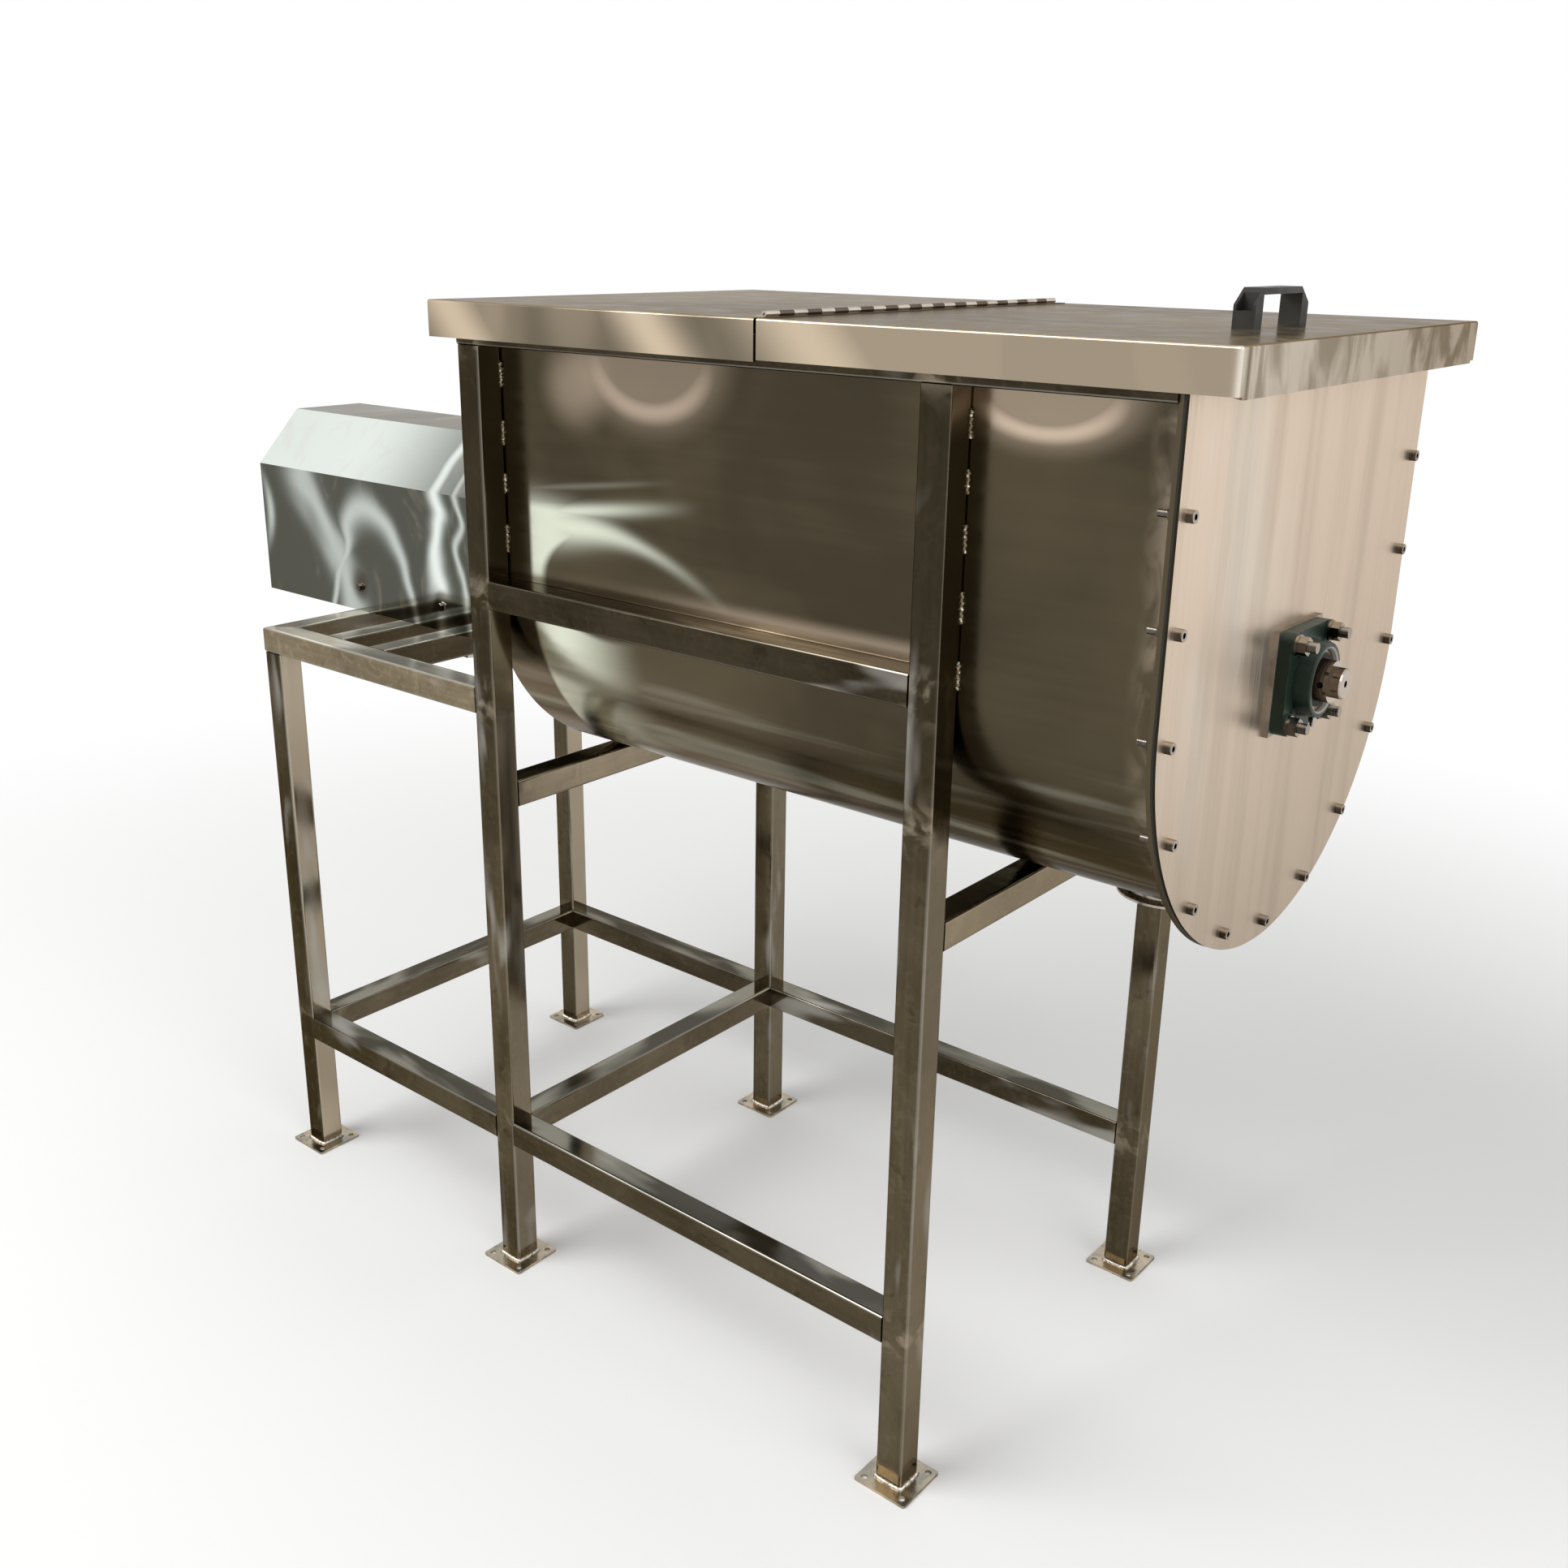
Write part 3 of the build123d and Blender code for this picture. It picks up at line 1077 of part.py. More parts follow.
pieces["bearing_housings"] = bearing_housings()
pieces["bearing_plates"] = bearing_plates()
pieces["bearing_outer_rings"] = bearing_outer_rings()
pieces["bearing_seals"] = bearing_seals()
pieces["bearing_inner_rings"] = bearing_inner_rings()
pieces["bearing_studs"] = bearing_studs()
pieces["grease_nipples"] = grease_nipples()
pieces["shaft_seals"] = shaft_seals()

pieces["agitator_shaft"] = agitator_shaft()
pieces["agitator_spokes"] = agitator_spokes()
pieces["outer_ribbons"] = ribbon(OUTER_RIBBON_OUTER, OUTER_RIBBON_WIDTH, hand=1, side=1)
pieces["inner_ribbons"] = ribbon(INNER_RIBBON_OUTER, INNER_RIBBON_WIDTH, hand=-1, side=-1)

pieces["coupling_hubs"] = coupling_hubs()
pieces["coupling_spider"] = coupling_spider()
pieces["gearbox_shaft"] = gearbox_shaft()
pieces["gearbox"] = gearbox()
pieces["gearbox_bolts"] = gearbox_bolts()
pieces["motor"] = motor()
pieces["terminal_box"] = terminal_box()
pieces["motor_fan_cowl"] = motor_fan_cowl()
pieces["motor_cover"] = motor_cover()
pieces["cover_brackets"] = cover_brackets()
pieces["cover_screws"] = cover_screws()

for name, shape in pieces.items():
    export_step(shape, f"parts/{name}.step")
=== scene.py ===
import math

import bmesh
import bpy
import numpy as np
from mathutils import Matrix, Vector


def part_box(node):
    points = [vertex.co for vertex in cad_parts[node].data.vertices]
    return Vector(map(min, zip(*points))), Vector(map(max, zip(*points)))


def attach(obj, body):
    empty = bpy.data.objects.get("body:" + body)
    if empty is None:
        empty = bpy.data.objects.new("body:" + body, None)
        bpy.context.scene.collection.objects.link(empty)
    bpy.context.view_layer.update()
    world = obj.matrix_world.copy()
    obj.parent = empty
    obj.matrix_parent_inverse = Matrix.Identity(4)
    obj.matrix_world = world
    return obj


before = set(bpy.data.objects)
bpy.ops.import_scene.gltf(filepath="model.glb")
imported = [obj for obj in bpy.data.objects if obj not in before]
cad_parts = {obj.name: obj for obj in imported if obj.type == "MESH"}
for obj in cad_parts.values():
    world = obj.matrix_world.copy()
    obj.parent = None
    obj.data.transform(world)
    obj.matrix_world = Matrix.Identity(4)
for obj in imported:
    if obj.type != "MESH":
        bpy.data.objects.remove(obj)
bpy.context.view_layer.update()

bl_info = {
    "name": "Ribbon blender finishes",
    "version": (1, 0, 0),
    "blender": (4, 5, 0),
    "location": "View3D > Sidebar > Ribbon blender",
    "description": "Steel finishes, weld beads, threads and a plain studio for the ribbon blender",
    "category": "Object",
}

MILLIMETRE = 0.001
# Height of the shaft and radius of the machined mouth of the bearing housings, in metres
AXIS_HEIGHT = 1.080
MOUTH_RADIUS = 0.0376

# Pieces that share a finish
LEGS = [f"leg_{row}_{place}" for row in ("front", "back") for place in ("left", "middle", "right")]
TROUGH_LEGS = [name for name in LEGS if not name.endswith("left")]
TABLE_LEGS = [name for name in LEGS if name.endswith("left")]
LOWER_RAILS = [f"lower_rail_{row}_{place}" for row in ("front", "back") for place in ("left", "right")]
TROUGH_RAILS = ["side_rail_front", "side_rail_back", "top_rail_front", "top_rail_back"]
TABLE_RAILS = ["table_rail_front", "table_rail_back"]
TABLE_CROSS = ["table_slats", "table_rail_end"]
TROUGH_SHEETS = ["trough_shell", "trough_left_plate"]
END_PLATES = ["end_plate", "trough_flange"]
LID_SHEETS = ["fixed_cover", "hinged_lid"]
WORN_HINGE = ["hinge_leaf_moving", "hinge_pin"]
FASTENERS = ["end_plate_bolts", "bearing_studs", "grease_nipples", "handle_screws", "cover_screws",
             "gearbox_bolts"]
RUBBER = ["end_gasket", "lid_seal", "shaft_seals", "bearing_seals", "coupling_spider"]
AGITATOR = ["agitator_spokes", "outer_ribbons", "inner_ribbons"]


def display(red, green, blue):
    """Linear colour of a colour that is named by its display values from 0 to 255."""
    share = np.array([red, green, blue]) / 255
    linear = np.where(share <= 0.04045, share / 12.92, ((share + 0.055) / 1.055) ** 2.4)
    return tuple(float(value) for value in linear)


def colour_property(name, description, shade):
    """Colour setting whose default is given by display values."""
    return bpy.props.FloatVectorProperty(name=name, description=description, subtype="COLOR", size=3,
                                         min=0.0, max=1.0, default=display(*shade))


def length_property(name, description, millimetres):
    """Length setting whose default is given in millimetres."""
    return bpy.props.FloatProperty(name=name, description=description, subtype="DISTANCE", unit="LENGTH",
                                   precision=5, default=millimetres * MILLIMETRE)


class RibbonSteelSettings(bpy.types.PropertyGroup):
    """Colours of the steel finishes, among them painted highlights, sheens and reflections."""

    tube_dark: colour_property("Tube, dark", "Darker clouds of the polished tube", (82, 72, 54))
    tube_light: colour_property("Tube, light", "Paler clouds of the polished tube", (118, 106, 85))
    # Painted sheen on the tubes' upward faces, and the pale base of the foot plates
    top_sheen_and_foot_plate: colour_property("Tube, top", "Upward faces of the polished tube", (150, 147, 136))
    # Painted highlights on the tubes' corners and in bright flares
    tube_highlight: colour_property("Tube, edge", "Bright corners and flares of the tube", (200, 198, 190))
    # Real pale ground patches beside the welds and the foot plates' tint, and also the painted pale sheen on
    # tube faces that look along +X
    weld_tint_and_side_sheen: colour_property("Weld tint", "Pale ground patches beside the welds", (206, 190, 166))
    trough_dark: colour_property("Trough, dark", "Body of the bright trough sheet", (68, 61, 48))
    trough_light: colour_property("Trough, light", "Soft paler clouds of the trough sheet", (86, 77, 60))
    # Painted warm reflections on the trough: arcs and a patch below the rim, a glow, the keel line and a band
    # above the side rail; also a stain beside the flange
    trough_warm_reflection_and_stain: colour_property("Trough, warm", "Warm arcs below the rim", (206, 186, 164))
    # Painted pale reflections: the sweep at the left and streaks low on the trough
    trough_pale_reflection: colour_property("Trough, pale", "Pale sweep above the side rail", (228, 233, 214))
    trough_inside: colour_property("Trough, inside", "Satin inner face of the trough", (226, 219, 208))
    # The lid's paler bands are painted reflections
    lid_dark: colour_property("Lid, dark", "Darker bands of the lid", (112, 103, 88))
    lid_light: colour_property("Lid, light", "Paler bands of the lid", (212, 194, 168))
    # The veined pattern on the lid's end skirts is a painted reflection
    lid_end: colour_property("Lid, end", "Veined right skirt of the lid", (232, 222, 208))
    # Painted sheen on the lid's upper face
    lid_top_sheen: colour_property("Lid, top", "Upper face of the lid", (222, 208, 186))
    cover_dark: colour_property("Cover, dark", "Darker bands of the motor cover", (88, 89, 81))
    # Painted reflections on the motor cover, and the painted sheen streaks on the end plate
    cover_reflection_white: colour_property("Cover, light", "Bright bands of the motor cover", (238, 245, 240))
    plate_top: colour_property("End plate, top", "Upper part of the brushed end plate", (242, 223, 203))
    plate_bottom: colour_property("End plate, bottom", "Lower part of the brushed end plate", (214, 198, 180))
    bead: colour_property("Weld bead", "Bare weld metal", (226, 218, 208))


class RibbonPartSettings(bpy.types.PropertyGroup):
    """Colours of castings, plastic, rubber and small metal parts."""

    casting: colour_property("Bearing paint", "Dark green paint of the bearing housings", (17, 30, 22))
    # Worn edges of the castings, and the painted sheen on their upper faces
    casting_wear_and_sheen: colour_property("Bearing edges", "Worn edges of the bearing housings", (84, 94, 88))
    machined: colour_property("Bearing mouth", "Bare machined mouth of the bearing housings", (186, 181, 172))
    ring: colour_property("Bearing rings", "Ground bearing steel", (178, 168, 154))
    journal: colour_property("Journals", "Round faces of the shaft and the inner rings", (118, 106, 96))
    backing: colour_property("Backing plates", "Plates behind the bearing housings", (190, 181, 170))
    fastener: colour_property("Fasteners", "Bright screws, nuts and washers", (222, 212, 200))
    plastic: colour_property("Handle", "Black moulded plastic", (30, 29, 28))
    rubber: colour_property("Rubber", "Gaskets and seals", (24, 23, 22))
    agitator: colour_property("Agitator", "Ground stainless ribbons", (208, 202, 192))
    iron: colour_property("Coupling", "Turned cast iron", (104, 102, 98))
    gearbox: colour_property("Gearbox paint", "Grey paint of the gearbox", (92, 102, 110))
    motor: colour_property("Motor alloy", "Cast motor body", (134, 138, 140))
    cowl: colour_property("Cowl paint", "Painted fan cowl", (70, 76, 82))


class RibbonDetailSettings(bpy.types.PropertyGroup):
    """Sizes of the weld beads, threads and set screws."""

    foot_bead: length_property("Foot bead", "Radius of the bead round each leg's foot", 4.2)
    seam_bead: length_property("Seam bead", "Radius of the stitch welds beside the trough", 3.4)
    ripple: length_property("Ripple", "Length of one weld ripple", 2.6)
    thread_depth: length_property("Thread depth", "Height of the thread ridge", 0.35)
    screw_pitch: length_property("Cap screw pitch", "Thread pitch of the end plate's screws", 1.25)
    stud_pitch: length_property("Stud pitch", "Thread pitch of the bearing studs", 1.75)


class RibbonStageSettings(bpy.types.PropertyGroup):
    """Floor, light and camera."""

    floor: colour_property("Floor", "Colour of the floor", (247, 247, 246))
    sky: bpy.props.FloatProperty(name="Sky", description="Soft light from all round", default=0.62, min=0.0)
    key: bpy.props.FloatProperty(name="Key lamp", description="Power of the large lamp", default=150.0,
                                 subtype="POWER", unit="POWER")
    fill: bpy.props.FloatProperty(name="Fill lamp", description="Power of the lamp at the other side",
                                  default=32.0, subtype="POWER", unit="POWER")
    lens: bpy.props.FloatProperty(name="Lens", description="Focal length of the camera",
                                  default=36.36, subtype="DISTANCE_CAMERA")


# Strength of the reflection at a grazing angle, for polished steel and for other surfaces
GRAZING_TINT = (0.50, 0.47, 0.43, 1.0)
LID_GRAZING_TINT = (0.22, 0.18, 0.13, 1.0)
PLAIN_TINT = (1.0, 1.0, 1.0, 1.0)
# Specular levels of paint and of moulded pieces
PAINT_SPECULAR = 0.2
MOULDED_SPECULAR = 0.35


class Finish:
    """Node tree of one procedural finish, with short calls for the nodes that the finishes share."""

    def __init__(self, name):
        self.material = bpy.data.materials.new(name)
        self.material.use_nodes = True
        self.tree = self.material.node_tree
        self.shader = self.tree.nodes["Principled BSDF"]
        coordinates = self.node("ShaderNodeTexCoord")
        self.place = coordinates.outputs["Object"]
        self.facing = coordinates.outputs["Normal"]

    def node(self, kind, **settings):
        item = self.tree.nodes.new(kind)
        for key, value in settings.items():
            setattr(item, key, value)
        return item

    def feed(self, source, socket):
        """Link from a socket, or a plain value."""
        if isinstance(source, bpy.types.NodeSocket):
            self.tree.links.new(source, socket)
        else:
            socket.default_value = source

    def math(self, operation, first, second=0.0):
        item = self.node("ShaderNodeMath", operation=operation)
        self.feed(first, item.inputs[0])
        self.feed(second, item.inputs[1])
        return item.outputs[0]

    def plus(self, first, second):
        return self.math("ADD", first, second)

    def minus(self, first, second):
        return self.math("SUBTRACT", first, second)

    def times(self, first, *others):
        """Product of several factors."""
        for factor in others:
            first = self.math("MULTIPLY", first, factor)
        return first

    def blend(self, first, second, share):
        """Sum of two noises, in which the first has the given share."""
        return self.plus(self.times(first, share), self.times(second, 1.0 - share))

    def most(self, factors):
        """Largest of several factors."""
        result = factors[0]
        for factor in factors[1:]:
            result = self.math("MAXIMUM", result, factor)
        return result

    def part(self, vector, letter):
        """One coordinate of a vector."""
        split = self.node("ShaderNodeSeparateXYZ")
        self.feed(vector, split.inputs[0])
        return split.outputs[letter]

    def axis(self, letter):
        """One coordinate of the place on the piece, in metres."""
        return self.part(self.place, letter)

    def looks(self, letter):
        """How far a face looks along an axis: 1 along it, -1 against it."""
        return self.part(self.facing, letter)

    def endward(self):
        """1 on faces that look along the shaft, either way, and 0 on faces beside it."""
        return self.math("ABSOLUTE", self.looks("X"))

    def ramp(self, value, low, high, start=0.0, end=1.0):
        """Smooth step from start to end as the value goes from low to high."""
        item = self.node("ShaderNodeMapRange", interpolation_type="SMOOTHSTEP")
        for socket, source in zip(item.inputs, (value, low, high, start, end)):
            self.feed(source, socket)
        return item.outputs["Result"]

    def bell(self, value, centre, width):
        """Bell curve: 1 at the centre, falling to almost nothing at two widths away."""
        away = self.math("DIVIDE", self.minus(value, centre), width)
        return self.math("EXPONENT", self.times(away, away, -1.0))

    def oval(self, first, second, centre, radii=(1.0, 1.0)):
        """Distance of two coordinates from the centre of an oval, counted in its radii."""
        shares = [self.math("DIVIDE", self.minus(value, middle), radius)
                  for value, middle, radius in zip((first, second), centre, radii)]
        squares = [self.times(share, share) for share in shares]
        return self.math("SQRT", self.plus(*squares))

    def noise(self, scale, detail=3.0, stretch=(1.0, 1.0, 1.0), distortion=0.0, offset=0.0):
        """Cloud noise from 0 to 1. The scale counts clouds per metre, and stretch squeezes each axis."""
        mapping = self.node("ShaderNodeMapping")
        mapping.inputs["Scale"].default_value = stretch
        mapping.inputs["Location"].default_value = (offset, offset, offset)
        self.feed(self.place, mapping.inputs["Vector"])
        item = self.node("ShaderNodeTexNoise")
        self.feed(mapping.outputs[0], item.inputs["Vector"])
        item.inputs["Scale"].default_value = scale
        item.inputs["Detail"].default_value = detail
        item.inputs["Distortion"].default_value = distortion
        return item.outputs["Fac"]

    def mix(self, factor, first, second):
        """Colour between two colours."""
        item = self.node("ShaderNodeMix", data_type="RGBA")
        self.feed(factor, item.inputs[0])
        for source, socket in ((first, item.inputs[6]), (second, item.inputs[7])):
            linked = isinstance(source, bpy.types.NodeSocket)
            self.feed(source if linked else (*source, 1.0), socket)
        return item.outputs[2]

    def edges(self, radius):
        """1 along sharp edges, from how far a rounded normal turns from the real one."""
        bevel = self.node("ShaderNodeBevel", samples=6)
        bevel.inputs["Radius"].default_value = radius
        normal = self.node("ShaderNodeNewGeometry").outputs["Normal"]
        dot = self.node("ShaderNodeVectorMath", operation="DOT_PRODUCT")
        self.feed(bevel.outputs[0], dot.inputs[0])
        self.feed(normal, dot.inputs[1])
        return self.ramp(self.minus(1.0, dot.outputs["Value"]), 0.02, 0.25)

    def bump(self, height, distance):
        """Relief of the given height in metres."""
        item = self.node("ShaderNodeBump")
        item.inputs["Strength"].default_value = 1.0
        item.inputs["Distance"].default_value = distance
        self.feed(height, item.inputs["Height"])
        self.feed(item.outputs[0], self.shader.inputs["Normal"])

    def done(self, colour, metallic, roughness, grazing=GRAZING_TINT):
        self.feed(colour, self.shader.inputs["Base Color"])
        self.shader.inputs["Specular Tint"].default_value = grazing if metallic else PLAIN_TINT
        self.shader.inputs["Metallic"].default_value = metallic
        self.feed(roughness, self.shader.inputs["Roughness"])
        return self.material


def scaled(colour, share, lift=0.0):
    """Colour times a share, lifted by a small amount."""
    return tuple(value * share + lift for value in colour)


def drawn(run, along, across=1.0):
    """Stretch of a noise: one value along the run and another across it."""
    return tuple(along if letter == run else across for letter in "XYZ")


# Half length of the ground patch at a weld on a tube
WELD_PATCH = 0.026


def tube_finish(name, steel, run, weld_places, tone=1.0, top=1.0, side=0.1, shaded=None, metallic=1.0):
    """Polished square tube: clouds, wipe marks along its run, smudges, scuffs, a painted sheen streaked along
    its upper face, painted highlights as bright flares and along its corners, and ground patches at the
    welds. Tone and top scale the colours of its sides and of its painted upper sheen, side is the share of
    painted pale sheen on faces that look along +X, and between a shaded pair of heights it gets darker
    upwards, as painted shade."""
    finish = Finish(name)
    lengthwise = drawn(run, 0.06)
    flared = drawn(run, 0.4, 1.4)
    dark = scaled(steel.tube_dark, tone)
    light = scaled(steel.tube_light, tone)
    clouds = finish.noise(5.0, 3.0, distortion=0.4)
    wipes = finish.noise(150.0, 2.0, lengthwise)
    colour = finish.mix(finish.ramp(finish.blend(clouds, wipes, 0.8), 0.3, 0.7), dark, light)
    smudge = finish.noise(26.0, 4.0, distortion=1.4, offset=3.0)
    colour = finish.mix(finish.ramp(smudge, 0.58, 0.72, 0.0, 0.5), colour, scaled(dark, 0.7))
    scuff = finish.noise(70.0, 5.0, distortion=0.8, offset=9.0)
    colour = finish.mix(finish.ramp(scuff, 0.48, 0.70, 0.0, 0.16), colour, scaled(light, 1.7))
    # Painted shade: darker upwards between the shaded heights
    if shaded:
        gloom = finish.ramp(finish.axis("Z"), *shaded, 0.0, 0.75)
        colour = finish.mix(gloom, colour, scaled(dark, 0.35))
    # Painted sheen: faces that look along +X take a share of the pale tint
    sideways = finish.ramp(finish.looks("X"), 0.6, 0.98, 0.0, side)
    colour = finish.mix(sideways, colour, steel.weld_tint_and_side_sheen)
    # Painted sheen: the upper face is paler, streaked along the run
    streak = finish.ramp(finish.noise(12.0, 2.0, flared, distortion=0.4, offset=2.0), 0.44, 0.64)
    upper = finish.mix(streak, scaled(steel.top_sheen_and_foot_plate, top * 0.55), scaled(steel.top_sheen_and_foot_plate, top * 1.7))
    colour = finish.mix(finish.ramp(finish.looks("Z"), 0.5, 0.95), colour, upper)
    # Painted highlights: bright flares drawn out along the run
    flare = finish.noise(11.0, 2.0, flared, distortion=0.3, offset=12.0)
    colour = finish.mix(finish.ramp(flare, 0.58, 0.74, 0.0, 0.55), colour, steel.tube_highlight)
    # Painted highlights along the rounded corners, interrupted along the run
    turned = finish.times(*[finish.looks(letter) for letter in "XYZ" if letter != run])
    corner = finish.ramp(finish.math("ABSOLUTE", turned), 0.15, 0.48)
    broken_highlight = finish.ramp(finish.noise(16.0, 3.0, lengthwise, offset=4.0), 0.40, 0.62, 0.0, 0.26)
    colour = finish.mix(finish.times(corner, broken_highlight), colour, steel.tube_highlight)
    along = finish.axis(run)
    near = finish.most([finish.bell(along, place, WELD_PATCH) for place in weld_places])
    blotch = finish.ramp(finish.noise(30.0, 3.0, distortion=1.0, offset=6.0), 0.46, 0.66, 0.0, 0.3)
    colour = finish.mix(finish.times(near, blotch), colour, steel.weld_tint_and_side_sheen)
    finish.bump(finish.noise(7.0, 1.0, offset=1.0), 0.0015)
    roughness = finish.ramp(finish.noise(22.0, 3.0, lengthwise, offset=7.0), 0.3, 0.7, 0.07, 0.17)
    return finish.done(colour, metallic, roughness)


def foot_finish(steel):
    """Cut steel plate, tinted by the weld round the leg."""
    finish = Finish("foot_plate_steel")
    clouds = finish.noise(30.0, 3.0, distortion=0.8)
    # The plate's base is the colour of the tubes' painted top sheen
    colour = finish.mix(finish.ramp(clouds, 0.3, 0.7, 0.0, 0.9), steel.top_sheen_and_foot_plate, steel.weld_tint_and_side_sheen)
    spots = finish.ramp(finish.noise(120.0, 2.0, offset=5.0), 0.60, 0.74, 0.0, 0.4)
    colour = finish.mix(spots, colour, steel.tube_dark)
    finish.bump(finish.noise(300.0, 2.0), 0.00006)
    return finish.done(colour, 1.0, finish.ramp(clouds, 0.3, 0.7, 0.18, 0.32))


# Painted reflections as soft arcs below the trough's rim: place along X, half width, half height and strength
REFLECTION_ARCS = ((0.143, 0.092, 0.068, 0.7), (0.694, 0.082, 0.046, 1.0))
ARC_HEIGHT = 1.402
# Painted reflection as a soft warm patch beside the left arc: centre and radii in X and Z
REFLECTION_PATCH = (0.014, 1.358)
REFLECTION_PATCH_RADII = (0.060, 0.056)
# Painted reflection as a pale sweep on the trough's side: its upright edge, the height of its arc, where the
# arc bends and how fast it falls, the height and slope of the line above it, and the drop from that line to
# the band
SWEEP_EDGE = (-0.087, -0.077)
SWEEP_HEIGHT = 1.176
SWEEP_BEND = 0.03
SWEEP_FALL = 1.25
SWEEP_LINE_HEIGHT = 1.2286
SWEEP_LINE_SLOPE = 0.13
SWEEP_BAND_DROP = 0.032
# Painted dark reflection as an oval under the pale sweep: centre and radii in X and Z
SWEEP_DARK_REFLECTION = (0.060, 1.100)
SWEEP_DARK_REFLECTION_RADII = (0.118, 0.068)
# Heights of the painted warm glow low on the trough and of the painted pale reflection along its keel
REFLECTION_GLOW_HEIGHT = 0.93
KEEL_REFLECTION_HEIGHT = 0.862


def reflection_arc(finish, x, z, centre, half_width, half_height, strength):
    """Factor of one painted reflection arc that hangs from the rim: a bright lower edge round a fainter fill.
    """
    reach = finish.oval(x, z, (centre, ARC_HEIGHT), (half_width, half_height))
    lower = finish.ramp(z, ARC_HEIGHT - 1.1 * half_height, ARC_HEIGHT + 0.4 * half_height, 1.0, 0.25)
    rim = finish.times(finish.bell(reach, 1.0, 0.22), lower, strength)
    fill = finish.ramp(reach, 0.8, 1.7, 0.45 * strength, 0.0)
    return finish.most([rim, fill])


def reflection_sweep(finish, x, z):
    """Factor of the painted pale reflection at the left: an arc that bends down, a slanting band with a faint
    line above it and a patch round a dark oval, all cut off by one upright edge. The dark oval is a painted
    dark reflection that the patch leaves out."""
    past = finish.math("MAXIMUM", finish.minus(x, SWEEP_BEND), 0.0)
    middle = finish.minus(SWEEP_HEIGHT, finish.times(past, past, SWEEP_FALL))
    width = finish.ramp(x, -0.09, 0.15, 0.030, 0.009)
    arc = finish.times(finish.bell(z, middle, width), finish.ramp(x, 0.0, 0.30, 1.0, 0.0))
    slant = finish.plus(finish.times(x, SWEEP_LINE_SLOPE), SWEEP_LINE_HEIGHT)
    line = finish.times(finish.bell(z, slant, 0.004), finish.ramp(x, 0.05, 0.20, 0.14, 0.0))
    lower_slant = finish.minus(slant, SWEEP_BAND_DROP)
    band = finish.times(finish.bell(z, lower_slant, 0.009), finish.ramp(x, 0.0, 0.24, 0.9, 0.0))
    outside = finish.ramp(finish.oval(x, z, SWEEP_DARK_REFLECTION, SWEEP_DARK_REFLECTION_RADII), 0.94, 1.10)
    fading = finish.times(outside, finish.ramp(x, -0.05, 0.12, 1.0, 0.0))
    patch = finish.times(finish.ramp(z, 1.190, 1.214, 1.0, 0.0), fading)
    return finish.times(finish.most([arc, line, band, patch]), finish.ramp(x, *SWEEP_EDGE))


def low_reflections_and_stain(finish, x, z, lines):
    """Factor of the painted warm reflections lower down: streaks at the foot, a soft glow, a line along the
    keel and a band above the side rail; and of a stain beside the flange."""
    # Painted reflections: streaks at the foot, a soft glow and a pale line along the keel
    low = finish.times(finish.ramp(z, 0.86, 0.97, 1.0, 0.0), finish.ramp(lines, 0.52, 0.75, 0.0, 0.35))
    glow = finish.times(finish.bell(z, REFLECTION_GLOW_HEIGHT, 0.06), finish.ramp(x, -0.10, 0.55, 0.28, 0.0))
    keel = finish.times(finish.bell(z, KEEL_REFLECTION_HEIGHT, 0.022), finish.ramp(x, 0.15, 0.55, 0.5, 0.06))
    # Painted reflection: a pale band just above the side rail, along its length
    rail_end, rail_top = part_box("side_rail_front")[1][0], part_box("side_rail_front")[1][2]
    above = finish.times(finish.ramp(z, rail_top - 0.002, rail_top),
                         finish.ramp(z, rail_top, rail_top + 0.030, 0.75, 0.0))
    beside = finish.times(finish.ramp(x, 0.05, 0.35, 0.15, 1.0),
                          finish.ramp(x, rail_end, rail_end + 0.03, 1.0, 0.0))
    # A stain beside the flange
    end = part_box("trough_flange")[0][0]
    blotch = finish.noise(28.0, 3.0, drawn("Z", 0.5), distortion=1.0, offset=3.0)
    stain = finish.times(finish.ramp(x, end - 0.050, end, 0.0, 0.4), finish.ramp(blotch, 0.40, 0.66))
    return finish.most([low, glow, keel, finish.times(above, beside), stain])


def looks_inside(finish, z):
    """1 on the trough's faces that look towards the shaft, 0 on the others."""
    below = finish.math("MINIMUM", finish.minus(z, AXIS_HEIGHT), 0.0)
    outward = finish.plus(finish.times(finish.axis("Y"), finish.looks("Y")),
                          finish.times(below, finish.looks("Z")))
    end_inside = finish.ramp(finish.looks("X"), 0.5, 0.9)
    return finish.most([finish.ramp(outward, -0.05, 0.0, 1.0, 0.0), end_inside])


